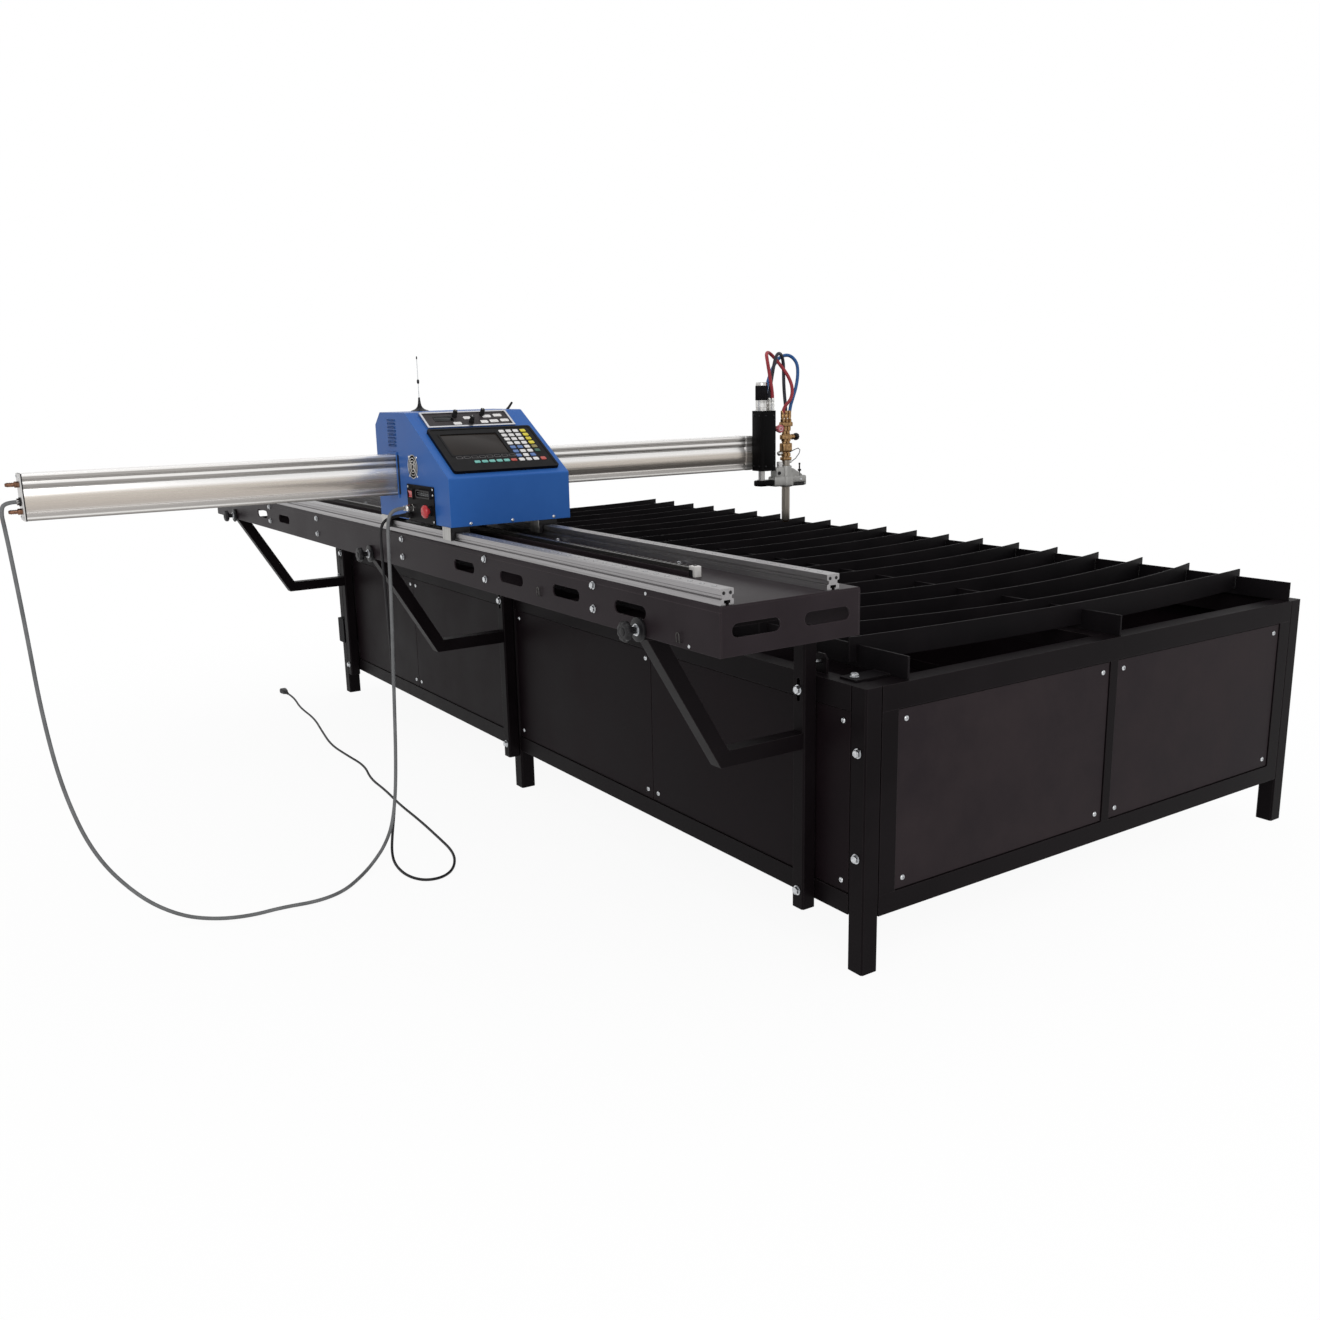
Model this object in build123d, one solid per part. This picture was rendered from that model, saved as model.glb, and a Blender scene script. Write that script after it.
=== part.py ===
from build123d import *
import math
import os

# A cantilever cutting machine on a slatted cutting table, in millimetres.
# X runs along the table from its middle to the near end, Y from the table's rail-side face across the
# bed, Z up from the floor. At the end every solid moves so that the origin is the middle of the footprint.

# Flat sides that stand for a round, by how large it is
large_sides = 24
round_sides = 12
small_sides = 6

# Table frame
overshoot = 1.0
table_length = 3410.0
table_width = 1745.0
table_height = 685.0
leg_width = 50.0
tube_wall = 3.0
tube_corner = 4.0
top_rail_height = 60.0
low_rail_height = 50.0
low_rail_base = 136.0
end_upright_width = 50.0
centre_post_width = 30.0
bearer_size = 50.0
foot_plate = 5.0
foot_drain_radius = 4.0

# Panels and the ledges behind them
panel_thickness = 2.0
panel_gap = 3.0
panel_recess = 3.0
ledge_height = 40.0
ledge_thickness = 3.0
seam_strip_width = 60.0
screw_inset = 24.0
screw_radius = 7.0
screw_crown = 5.0
screw_height = 3.0
slag_sheet = 2.0
slag_margin = 8.0

# Slat bed
support_height = 55.0
support_thickness = 5.0
support_inset_rail = 130.0
support_inset_far = 56.0
support_mid_offset = 20.0
support_setback = 5.0
slat_thickness = 4.0
slat_height = 60.0
slat_pitch = 169.0
slat_first = 178.0
slat_last_margin = 15.0
slat_bow = 115.0
slat_runs = 6
slat_first_bow = 50.0
slat_overhang = 20.0
notch_depth = 41.0
notch_clearance = 3.0
tie_width = 53.0
tie_thickness = 5.0
tie_inset = 88.0

# Struts, arms and bearers of the rail base
strut_width = 40.0
strut_inset = 183.0
strut_bottom = 116.0
strut_slot_length = 55.0
strut_slot_width = 12.0
lug_width = 44.0
lug_thickness = 5.0
lug_height = 47.0
lug_offset = 27.0
stud_radius = 5.0
stud_rise = 28.0
arm_width = 38.0
arm_height = 535.0
arm_elbow = 265.0
arm_top = 440.0
bearer_thickness = 8.0
bearer_tab_height = 34.0
bearer_tab_thickness = 8.0
bearer_tab_gap = 1.0
side_box = (65.0, 35.0, 108.0)
side_box_base = 246.0
side_box_gap = 2.0

# Bolts
bolt_head_width = 17.0
bolt_head_height = 7.0
washer_radius = 12.0
washer_thickness = 2.0
leg_bolt_heights = (282.0, 533.0)

# Rail base, guide rails and rack
base_length = 3600.0
base_width = 355.0
base_height = 100.0
base_bottom = 838.0
base_offset = 113.0
base_sheet = 4.0
base_bend = 6.0
side_slot_length = 124.0
side_slot_height = 28.0
side_slot_stations = (1484.0, 1214.0, 944.0, 674.0, -866.0, -1136.0)
end_slot_length = 119.0
end_slot_spacing = 180.0
base_bolt_stations = (1337.0, 801.0, 257.0, -494.0, -1033.0)
base_bolt_rise = 31.0
base_bolt_spacing = 52.0
base_bolt_width = 13.0
base_bolt_head = 5.0
rail_width = 32.0
rail_height = 32.0
rail_setback = 5.0
rail_groove_height = 10.0
rail_groove_depth = 5.0
rail_slot_mouth = 8.0
rail_slot_width = 15.0
rail_slot_lip = 4.0
rail_slot_depth = 10.0
outer_rail_inset = 5.0
inner_rail_inset = 53.0
rack_inset = 189.0
rack_height = 20.0
rack_depth = 18.0
rack_setback = 335.0
rack_length = 3085.0
rack_stop_length = 22.0
rack_stop_height = 24.0

# Gear teeth of both drives
gear_module = 6.0
gear_teeth = 10
gear_addendum = 0.9
gear_dedendum = 1.15
gear_backlash = 1.2
gear_flank = 20.0
gear_tip_half = 1.4
gear_root_half = 4.3
gear_side_play = 1.0
shaft_radius = 6.0
shaft_clearance = 0.05

# Hand knobs of the base clamps
knob_radius = 27.0
knob_thickness = 14.0
knob_flutes = 16
knob_gap = 0.4
knob_rise = 14.0
knob_screw_radius = 5.0
knob_hole_clearance = 0.4
knob_cap_radius = 8.0
knob_cap_height = 4.0

# Carriage casing
box_length = 494.0
box_width = 362.0
box_height = 296.0
box_back = 128.0
box_overhang = 7.0
box_ride = 15.0
box_front_height = 128.0
console_run = 270.0
chamfer_run = 40.0
chamfer_drop = 36.0
casing_sheet = 2.5
casing_bend = 6.0
console_bend = 24.0
chassis_thickness = 4.0
chassis_gap = 0.4
chassis_hole_clearance = 2.0
slider_length = 50.0
slider_wall = 12.0
slider_drop = 35.0
slider_inset = 4.0
slider_clearance = 0.4
louvre_columns = (234.0, 268.0)
louvre_rows = 8
louvre_pitch = 10.0
louvre_length = 26.0
louvre_height = 4.0
louvre_top_drop = 20.0
fan_station = 391.0
fan_rise = 150.0
fan_radius = 33.0
fan_frame_size = 72.0
fan_frame_depth = 20.0
fan_blades = 7
fan_hub_radius = 12.0
fan_gap = 1.0
fan_seat_gap = 0.3
fan_strut_width = 6.0
fan_strut_depth = 3.0
fan_blade_pitch = 32.0
fan_blade_thickness = 1.2
guard_bar = 2.4
guard_thickness = 2.0
guard_rings = (12.0, 22.0)
motor_size = 57.0
motor_height = 76.0
motor_corner = 4.0
motor_bore_depth = 16.0
shaft_end_gap = 1.0
x_drive_station = 310.0

# Console panels on the slope, placed by distance down the slope and by place across the machine
thc_size = (268.0, 76.0, 4.0)
thc_place = (49.0, -305.0)
thc_frame_width = 6.0
thc_frame_height = 3.0
thc_display_size = (52.0, 18.0, 1.5)
thc_display_place = (43.0, -377.0)
dial_places = ((33.0, -339.0), (65.0, -300.0), (30.0, -253.0))
dial_radius = 7.5
dial_height = 20.0
dial_flutes = 12
dial_gap = 0.4
dial_shaft_radius = 3.0
dial_shaft_clearance = 0.1
controller_size = (316.0, 202.0, 8.0)
controller_place = (198.0, -292.0)
controller_corner = 8.0
screen_size = (170.0, 99.0, 2.0)
screen_place = (176.0, -338.0)
screen_gap = 0.5
key_size = (17.0, 15.0, 2.0)
key_columns = (-233.0, -211.0, -189.0, -166.0)
key_first_row = 122.0
key_row_pitch = 19.7
key_row_count = 8
soft_keys = (-367.0, -345.0, -323.0, -301.0, -279.0, -257.0)

# Connector plate on the outer side of the casing
plate_span = (344.0, 526.0)
plate_height = 101.0
plate_thickness = 3.0
rocker_station = 374.0
rocker_rise = 75.0
rocker_size = (26.0, 18.0, 6.0)
rocker_rim = 4.0
rocker_rim_height = 5.0
rocker_clearance = 1.6
rocker_tilt = 8.0
rocker_pin_radius = 1.5
rocker_pin_seat = 2.5
rocker_pin_end_gap = 0.4
stop_station = 506.0
stop_rise = 36.0
stop_head_radius = 18.0
stop_head_thickness = 12.0
stop_travel = 6.0
stop_rest_gap = 1.0
stop_stem_radius = 8.0
stop_stem_clearance = 0.3
stop_collar_radius = 14.0
stop_collar_height = 8.0
socket_size = (92.0, 22.0, 8.0)
socket_wall = 3.0
socket_floor = 2.0
socket_place = (468.0, 79.0)
connector_station = 384.0
connector_rise = 37.0
connector_radius = 9.5
connector_length = 30.0
gland_station = 362.0
gland_rise = 15.0
gland_radius = 8.0
gland_length = 30.0

# Aerials on the casing's roof
aerial_place = (177.0, -354.0)
aerial_height = 156.0
aerial_base_radius = 20.0
aerial_waist_radius = 6.0
aerial_waist_rise = 9.0
aerial_base_height = 24.0
aerial_mast_radius = 2.5
aerial_bead_radius = 4.5
aerial_bead_length = 9.0
aerial_bead_place = 0.55
stub_place = (300.0, -130.0)
stub_radius = 4.0
stub_lean = 39.0
stub_length = 27.0
stub_sunk = 20.0

# Beam
beam_depth = 62.0
beam_height = 114.0
beam_length = 2299.0
beam_wall = 4.0
beam_front = 147.0
beam_rise = 65.0
beam_torch_end = 866.0
beam_groove = 3.0
beam_bands = (18.0, 22.0, 78.0, 82.0, 97.0, 101.0)
beam_hollow = 3.0
beam_hollow_run = 14.0
beam_rack_start = -1060.0
beam_rack_length = 1610.0
collar_wall = 7.0
collar_proud = 3.0
collar_length = 28.0
collar_clearance = 0.4
end_plate_thickness = 6.0
nipple_radius = 7.0
nipple_tip_radius = 4.5
nipple_length = 30.0
nipple_rises = (22.0, 88.0)
beam_gland_radius = 8.5
beam_gland_length = 9.0
beam_gland_rise = 46.0

# Torch lifter
lifter_width = 62.0
lifter_depth = 60.0
lifter_height = 201.0
lifter_drop = 3.0
lifter_corner = 5.0
lift_axis_offset = 22.0
lift_axis_forward = 28.0
lift_motor_radius = 20.5
lift_motor_base_height = 35.0
lift_cap_radius = 21.0
lift_cap_height = 59.0
lift_cap_round = 5.0
fitting_offset = 52.0
fitting_shift = 4.0
fitting_spacing = 18.0
fitting_radius = 6.0
fitting_height = 31.0
post_radius = 11.0
post_clearance = 0.1
post_inside = 110.0
post_stroke_room = 12.0
lift_up = 30.0
post_drop = 33.0
bracket_thickness = 13.0
bracket_width = 40.0
bracket_reach = 20.0

# Torch
torch_offset = 107.0
torch_radius = 14.0
torch_clearance = 0.05
torch_above_clamp = 18.0
torch_below_clamp = 91.0
torch_taper = 12.0
torch_collet_radius = 10.0
nozzle_radius = 8.0
nozzle_tip_radius = 5.0
nozzle_length = 20.0
clamp_barrel_radius = 26.0
clamp_height = 72.0
clamp_below_bracket = 14.0
clamp_arm_width = 36.0
clamp_arm_length = 38.0
clamp_ear_reach = 82.0
clamp_ear_width = 24.0
clamp_ear_margin = 10.0
clamp_slit = 3.0
clamp_arm_margin = 4.0
clamp_flange_width = 44.0
clamp_flange_height = 9.0
clamp_flange_margin = 4.0
clamp_bolt_radius = 5.0
clamp_bolt_overhang = 9.0
valve_column = (22.0, 46.0, 130.0)
valve_tube_radius = 8.5
valve_tube_spacing = 24.0
valve_foot = 12.0
valve_block_height = 26.0
valve_head_height = 33.0
inlet_radius = 6.5
inlet_height = 25.0
inlet_offsets = (-15.5, 0.0, 15.5)
valve_boss_radius = 8.0
fuel_knob_radius = 14.0
oxygen_knob_radius = 12.5
valve_knob_thickness = 15.0
valve_knob_flutes = 12
valve_gap = 0.4
valve_stem_radius = 3.0
valve_stem_length = 6.0
fuel_valve_rise = 109.0
fuel_boss_length = 4.0
fuel_arm_length = 30.0
fuel_arm_depth = 18.0
fuel_arm_height = 20.0
fuel_arm_inset = 9.0
oxygen_valve_rise = 79.0
oxygen_boss_length = 14.0

# Cords and hoses
arc_share = 0.45
bend_step = 15.0
cord_sides = 4
grey_diameter = 10.0
mains_diameter = 8.0
hose_diameter = 9.0
plug_size = (56.0, 30.0, 22.0)
plug_corner = 6.0
pin_length = 19.0
pin_radius = 2.4
pin_spacing = 14.0

# Grey cable: from the connector down to the floor, along it, and up to the beam's outer end
grey_route = (
    (384, -508, 1022), (384, -534, 1022), (384, -560, 1004), (383, -567, 950), (381, -565, 800),
    (380, -571, 530), (379, -583, 250), (379, -602, 120), (382, -632, 56), (400, -680, 16), (450, -735, 6),
    (520, -810, 6), (543, -890, 6), (524, -980, 6), (527, -1064, 6), (498, -1148, 8), (455, -1226, 24),
    (412, -1310, 82), (366, -1395, 200), (330, -1442, 370), (303, -1463, 570), (279, -1470, 790),
    (256, -1484, 965), (246, -1501, 1036), (244, -1506, 1071), (244, -1486, 1096), (244, -1448, 1096))

# Mains cord: from the gland down to the floor and along the table to the plug
mains_route = (
    (362, -508, 1000), (362, -534, 1000), (362, -556, 981), (362, -559, 930), (362, -556, 760),
    (361, -564, 520), (358, -571, 310), (349, -583, 150), (347, -596, 66), (364, -608, 20), (425, -623, 5),
    (520, -627, 5), (583, -600, 5), (592, -545, 5), (545, -491, 5), (440, -444, 5), (285, -430, 5),
    (110, -417, 5), (-60, -411, 5), (-230, -394, 5), (-385, -389, 5), (-540, -351, 5), (-710, -358, 5),
    (-880, -360, 5), (-1090, -324, 5), (-1300, -285, 5), (-1510, -277, 5), (-1670, -250, 7),
    (-1752, -249, 11), (-1790, -249, 11))

# Gas hoses: loops from the lifter's fittings, rear one first, over to the torch inlets
hose_routes = {
    "hose_blue": (
        (289, 856, 1279), (289, 856, 1303), (283, 867, 1338), (273, 890, 1374), (267, 914, 1405),
        (268, 937, 1427), (279, 967, 1433), (294, 988, 1408), (301, 988, 1372), (304, 979, 1329),
        (304, 964, 1290), (303, 951, 1257), (303, 948.5, 1232)),
    "hose_black": (
        (307, 856, 1279), (307, 856, 1303), (311, 861, 1342), (314, 867, 1382), (312, 877, 1415),
        (303, 897, 1437), (290, 926, 1433), (284, 945, 1404), (282, 951, 1369), (285, 951, 1329),
        (292, 944, 1291), (301, 935, 1258), (303, 933, 1232)),
    "hose_red": (
        (325, 856, 1279), (325, 856, 1303), (324, 849, 1343), (320, 844, 1382), (313, 843, 1413),
        (297, 851, 1437), (279, 877, 1441), (275, 905, 1422), (284, 929, 1393), (298, 948, 1360),
        (312, 955, 1322), (319, 944, 1284), (305.5, 919.5, 1256), (303, 917.5, 1232)),
}

# Places worked out from the sizes above
table_end = table_length / 2
mid_y = table_width / 2
top_rail_base = table_height - top_rail_height
low_rail_top = low_rail_base + low_rail_height
bay_stations = ((-table_end + leg_width, -leg_width / 2), (leg_width / 2, table_end - leg_width))
end_spans = (
    (leg_width + end_upright_width, mid_y - centre_post_width / 2),
    (mid_y + centre_post_width / 2, table_width - leg_width - end_upright_width))
cross_stations = (-table_end / 2, 0.0, table_end / 2)
slat_bottom = table_height + support_height - notch_depth
support_ys = (
    support_inset_rail, mid_y + support_mid_offset, table_width - support_inset_far - support_thickness)
slat_ends = (support_ys[0] - slat_overhang, support_ys[2] + support_thickness + slat_overhang)
slat_count = 1 + int((table_length - slat_first - slat_last_margin) / slat_pitch)
strut_stations = (table_end - strut_inset, 0.0, strut_inset - table_end)
bearer_bottom = base_bottom - bearer_thickness
base_inner = -base_offset
base_outer = base_inner - base_width
base_top = base_bottom + base_height
outer_rail_y = base_outer + outer_rail_inset + rail_width / 2
inner_rail_y = base_inner - inner_rail_inset - rail_width / 2
rail_top = base_top + rail_height
rack_end = base_length / 2 - rack_setback
rack_back = base_inner - rack_inset
gear_thickness = rack_height - 2 * gear_side_play
gear_pitch = math.pi * gear_module
gear_radius = gear_module * gear_teeth / 2
gear_tip = gear_radius + gear_addendum * gear_module
gear_root = gear_radius - gear_dedendum * gear_module
pitch_line = rack_depth - gear_addendum * gear_module
x_gear = (x_drive_station, rack_back + pitch_line + gear_radius)
box_bottom = rail_top + box_ride
box_top = box_bottom + box_height
box_front = box_back + box_length
box_outer = base_outer - box_overhang
box_inner = box_outer + box_width
box_mid = (box_outer + box_inner) / 2
console_top_x = box_front - console_run
console_drop = box_height - box_front_height
console_angle = math.degrees(math.atan2(console_drop, console_run))
console_normal = (math.sin(math.radians(console_angle)), 0, math.cos(math.radians(console_angle)))
console = Plane(origin=(console_top_x, 0, box_top), x_dir=(0, 1, 0), z_dir=console_normal)
plate_face = box_outer - plate_thickness
beam_x = (box_back + beam_front - beam_depth, box_back + beam_front)
beam_mid_x = (beam_x[0] + beam_x[1]) / 2
beam_bottom = box_bottom + beam_rise
beam_top = beam_bottom + beam_height
beam_outer_end = beam_torch_end - beam_length
beam_mid_z = (beam_bottom + beam_top) / 2
beam_rack_z = (beam_mid_z - rack_height / 2, beam_mid_z + rack_height / 2)
y_gear = (beam_x[0] - pitch_line - gear_radius, box_mid)
lifter_x = (beam_x[1], beam_x[1] + lifter_depth)
lifter_y = (beam_torch_end - lifter_width, beam_torch_end)
lifter_z = (beam_bottom - lifter_drop, beam_bottom - lifter_drop + lifter_height)
lift_x = lifter_x[0] + lift_axis_forward
post_y = lifter_y[0] + lift_axis_offset
post_bottom = lifter_z[0] - post_drop
torch_y = post_y + torch_offset
clamp_z = (post_bottom - bracket_thickness - clamp_below_bracket,
           post_bottom - bracket_thickness - clamp_below_bracket + clamp_height)
torch_top = clamp_z[1] + torch_above_clamp
torch_foot = clamp_z[0] - torch_below_clamp
valve_top = torch_top + valve_column[2]
hose_stations = tuple(lift_x + fitting_shift + side * fitting_spacing for side in (-1, 0, 1))
reach_outer = beam_outer_end - end_plate_thickness - nipple_length
reach_far = table_width + washer_thickness + bolt_head_height
footprint_mid = (reach_outer + reach_far) / 2


def block(x, y, z):
    """Plain box between pairs of limits."""
    centre = Pos((x[0] + x[1]) / 2, (y[0] + y[1]) / 2, (z[0] + z[1]) / 2)
    return centre * Box(x[1] - x[0], y[1] - y[0], z[1] - z[0])


def tube(axis, x, y, z, corner=0.0, closed_top=0.0):
    """Square tube that fills the limits, open along its axis except for a closed top."""
    outer = block(x, y, z)
    if corner:
        outer = chamfer(outer.edges().filter_by(axis), corner)
    inside = []
    for limits, direction in ((x, Axis.X), (y, Axis.Y), (z, Axis.Z)):
        margin = 0.0 if direction == axis else tube_wall
        inside.append((limits[0] + margin, limits[1] - margin))
    if closed_top:
        inside[2] = (inside[2][0], inside[2][1] - closed_top)
    return outer - block(*inside)


def along_x(sketch, x):
    """A (Y, Z) sketch carried along X between two limits."""
    plane = Plane(origin=(x[0], 0, 0), x_dir=(0, 1, 0), z_dir=(1, 0, 0))
    return extrude(plane * sketch, amount=x[1] - x[0])


def along_y(sketch, y):
    """An (X, Z) sketch carried along Y between two limits."""
    plane = Plane(origin=(0, y[1], 0), x_dir=(1, 0, 0), z_dir=(0, -1, 0))
    return extrude(plane * sketch, amount=y[1] - y[0])


def along_z(sketch, z):
    """An (X, Y) sketch carried along Z between two limits."""
    return extrude(Pos(0, 0, z[0]) * sketch, amount=z[1] - z[0])


def outline(points):
    """Face inside a closed run of points."""
    return make_face(Polyline(*points, close=True))


def oblong(length, width):
    """Slot outline with its round ends as three flat sides each."""
    reach, half = length / 2, width / 2
    corner = reach - half * 0.6
    side = [(reach, -half / 2), (reach, half / 2), (corner, half)]
    return outline(side + [(-corner, half), (-reach, half / 2), (-reach, -half / 2), (-corner, -half),
                           (corner, -half)])


def rod(start, end, radius, sides=round_sides):
    """Round bar from one point to another, with its corners on the radius."""
    run = Vector(*end) - Vector(*start)
    return extrude(Plane(origin=start, z_dir=run) * RegularPolygon(radius, sides), amount=run.length)


def bore(start, end, radius, sides=round_sides):
    """Round hole from one point to another, with its flats on the radius, so that a rod turns in it."""
    run = Vector(*end) - Vector(*start)
    section = RegularPolygon(radius, sides, major_radius=False)
    return extrude(Plane(origin=start, z_dir=run) * section, amount=run.length)


def cone(start, end, radius, end_radius, sides=round_sides):
    """Round taper from one point to another."""
    run = Vector(*end) - Vector(*start)
    lean = math.degrees(math.atan2((radius - end_radius) * math.cos(math.pi / sides), run.length))
    taper = extrude(RegularPolygon(radius, sides), amount=run.length, taper=lean)
    return Plane(origin=start, z_dir=run).location * taper


def bolt(place, direction, width, height):
    """Hexagon head on its washer, seated on a face."""
    plane = Plane(origin=place, z_dir=direction)
    washer = RegularPolygon(washer_radius * width / bolt_head_width, small_sides)
    washer = extrude(plane * washer, amount=washer_thickness)
    head = RegularPolygon(width / 2, 6, major_radius=False)
    return washer + extrude(plane.offset(washer_thickness) * head, amount=height)


def on_console(size, place, lift=0.0):
    """Flat box on the sloped console, by its distance down the slope and its place across."""
    return console * Pos(place[1], -place[0], lift + size[2] / 2) * Box(*size)


def legs():
    solids = []
    for y in ((0.0, leg_width), (table_width - leg_width, table_width)):
        for x in (-table_end, -leg_width / 2, table_end - leg_width):
            leg = tube(Axis.Z, (x, x + leg_width), y, (0.0, table_height), tube_corner, tube_wall)
            foot = block((x + tube_wall, x + leg_width - tube_wall),
                         (y[0] + tube_wall, y[1] - tube_wall), (0.0, foot_plate))
            middle = (x + leg_width / 2, (y[0] + y[1]) / 2)
            drain = rod((*middle, -overshoot), (*middle, foot_plate + overshoot),
                        foot_drain_radius, small_sides)
            solids.append(leg + foot - drain)
    return solids


def frame_rails():
    """Top and bottom rails between the legs, with the uprights and the post of each end."""
    solids = []
    for z in ((top_rail_base, table_height), (low_rail_base, low_rail_top)):
        for y in ((0.0, leg_width), (table_width - leg_width, table_width)):
            for bay in bay_stations:
                solids.append(tube(Axis.X, bay, y, z))
        for x in ((-table_end, leg_width - table_end), (table_end - leg_width, table_end)):
            solids.append(tube(Axis.Y, x, (leg_width, table_width - leg_width), z))
    for x in ((-table_end, leg_width - table_end), (table_end - leg_width, table_end)):
        for y in ((leg_width, leg_width + end_upright_width), (end_spans[0][1], end_spans[1][0]),
                  (table_width - leg_width - end_upright_width, table_width - leg_width)):
            solids.append(tube(Axis.Z, x, y, (low_rail_top, top_rail_base)))
    return solids


def bed_bearers():
    """Mid rail under the slats, its cross bearers, and the cross bars low in the frame."""
    top = (table_height - bearer_size, table_height)
    mid = (mid_y - bearer_size / 2, mid_y + bearer_size / 2)
    solids = [tube(Axis.X, (leg_width - table_end, table_end - leg_width), mid, top)]
    for station in cross_stations:
        x = (station - bearer_size / 2, station + bearer_size / 2)
        solids.append(tube(Axis.Y, x, (leg_width, mid[0]), top))
        solids.append(tube(Axis.Y, x, (mid[1], table_width - leg_width), top))
        solids.append(tube(Axis.Y, x, (leg_width, table_width - leg_width), (low_rail_base, low_rail_top)))
    return solids


def side_spans():
    """The X limits of the panels in each bay, two panels to a bay."""
    spans = []
    for bay in bay_stations:
        seam = (bay[0] + bay[1]) / 2
        spans.append((bay[0] + panel_gap, seam - panel_gap / 2))
        spans.append((seam + panel_gap / 2, bay[1] - panel_gap))
    return spans


panel_z = (low_rail_top + panel_gap, top_rail_base - panel_gap)
panel_side_depths = (
    (panel_recess, panel_recess + panel_thickness),
    (table_width - panel_recess - panel_thickness, table_width - panel_recess))
panel_end_depths = (
    (panel_recess - table_end, panel_recess + panel_thickness - table_end),
    (table_end - panel_recess - panel_thickness, table_end - panel_recess))


def side_panels():
    return [block(x, y, panel_z) for y in panel_side_depths for x in side_spans()]


def end_panels():
    solids = []
    for x in panel_end_depths:
        for span in end_spans:
            solids.append(block(x, (span[0] + panel_gap, span[1] - panel_gap), panel_z))
    return solids


def behind(depth, middle):
    """Limits of a ledge that backs a panel, on the side towards the table's middle."""
    if depth[0] < middle:
        return (depth[1], depth[1] + ledge_thickness)
    return (depth[0] - ledge_thickness, depth[0])


def panel_ledges():
    """Flat strips welded into each opening, which the panels are screwed to."""
    strips = ((low_rail_top, low_rail_top + ledge_height), (top_rail_base - ledge_height, top_rail_base))
    between = (strips[0][1], strips[1][0])
    solids = []
    for depth in panel_side_depths:
        y = behind(depth, mid_y)
        for bay in bay_stations:
            seam = (bay[0] + bay[1]) / 2
            solids += [block(bay, y, z) for z in strips]
            solids.append(block((seam - seam_strip_width / 2, seam + seam_strip_width / 2), y, between))
    for depth in panel_end_depths:
        solids += [block(behind(depth, 0.0), span, z) for span in end_spans for z in strips]
    return solids


def panel_screws():
    """Dome-headed screws near each panel's corners."""
    heights = (panel_z[0] + screw_inset, panel_z[1] - screw_inset)
    solids = []
    for depth in panel_side_depths:
        face, outward = (depth[0], -1) if depth[0] < mid_y else (depth[1], 1)
        for x in side_spans():
            for place in (x[0] + screw_inset, x[1] - screw_inset):
                for z in heights:
                    tip = (place, face + outward * screw_height, z)
                    solids.append(cone((place, face, z), tip, screw_radius, screw_crown, small_sides))
    for depth in panel_end_depths:
        face, outward = (depth[0], -1) if depth[0] < 0 else (depth[1], 1)
        for span in end_spans:
            for place in (span[0] + panel_gap + screw_inset, span[1] - panel_gap - screw_inset):
                for z in heights:
                    tip = (face + outward * screw_height, place, z)
                    solids.append(cone((face, place, z), tip, screw_radius, screw_crown, small_sides))
    return solids


def slag_sheets():
    """Four flat sheets on the low cross bars, which catch the slag."""
    solids = []
    for x in ((slag_margin - table_end + leg_width, -slag_margin),
              (slag_margin, table_end - leg_width - slag_margin)):
        for y in ((leg_width + slag_margin, mid_y - slag_margin),
                  (mid_y + slag_margin, table_width - leg_width - slag_margin)):
            solids.append(block(x, y, (low_rail_top, low_rail_top + slag_sheet)))
    return solids


def slat_corner(index, step):
    """X and Y of a corner of a bowed slat, which follows its arc in straight runs."""
    bow = slat_first_bow if index == 0 else slat_bow
    half = (slat_ends[1] - slat_ends[0]) / 2
    radius = (half ** 2 + bow ** 2) / (2 * bow)
    from_middle = half * (2 * step / slat_runs - 1)
    end = table_end - slat_first - slat_pitch * index
    x = end + bow - radius + math.sqrt(radius ** 2 - from_middle ** 2)
    return x, slat_ends[0] + half + from_middle


def slat_place(index, y):
    """X of a bowed slat at a place across the table."""
    run = slat_runs * (y - slat_ends[0]) / (slat_ends[1] - slat_ends[0])
    step = min(int(run), slat_runs - 1)
    start, end = slat_corner(index, step)[0], slat_corner(index, step + 1)[0]
    return start + (end - start) * (run - step)


def slats():
    """Bowed flat bars on edge."""
    solids = []
    half = slat_thickness / 2
    for index in range(slat_count):
        corners = [slat_corner(index, step) for step in range(slat_runs + 1)]
        near = [(x + half, y) for x, y in corners]
        far = [(x - half, y) for x, y in reversed(corners)]
        solids.append(along_z(outline(near + far), (slat_bottom, slat_bottom + slat_height)))
    return solids


def slat_supports():
    """Three notched bars that carry the slats, and the tie plates from the outer two to the frame."""
    x = (support_setback - table_end, table_end - support_setback)
    solids = []
    for y in support_ys:
        bar = block(x, (y, y + support_thickness), (table_height, table_height + support_height))
        notches = []
        for index in range(slat_count):
            places = (slat_place(index, y), slat_place(index, y + support_thickness))
            half = (slat_thickness + notch_clearance) / 2
            notches.append(block(
                (min(places) - half, max(places) + half), (y - overshoot, y + support_thickness + overshoot),
                (slat_bottom, table_height + support_height + overshoot)))
        solids.append(bar - notches)
    spans = ((leg_width / 2, support_ys[0]), (support_ys[2] + support_thickness, table_width - leg_width / 2))
    for end in (-1, 1):
        middle = end * (table_end - tie_inset)
        for span in spans:
            solids.append(block((middle - tie_width / 2, middle + tie_width / 2), span,
                                (table_height, table_height + tie_thickness)))
    return solids


def struts():
    """Upright tubes on the table's rail side, with a slot for the upper bolt."""
    solids = []
    for station in strut_stations:
        half = strut_width / 2
        upright = tube(Axis.Z, (station - half, station + half), (-strut_width, 0.0),
                       (strut_bottom, bearer_bottom), tube_corner)
        slot = Rot(0, 0, 90) * oblong(strut_slot_length, strut_slot_width)
        slot = Pos(station, top_rail_base + top_rail_height / 2) * slot
        solids.append(upright - along_y(slot, (-strut_width - overshoot, tube_wall - strut_width + overshoot)))
    return solids


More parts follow.
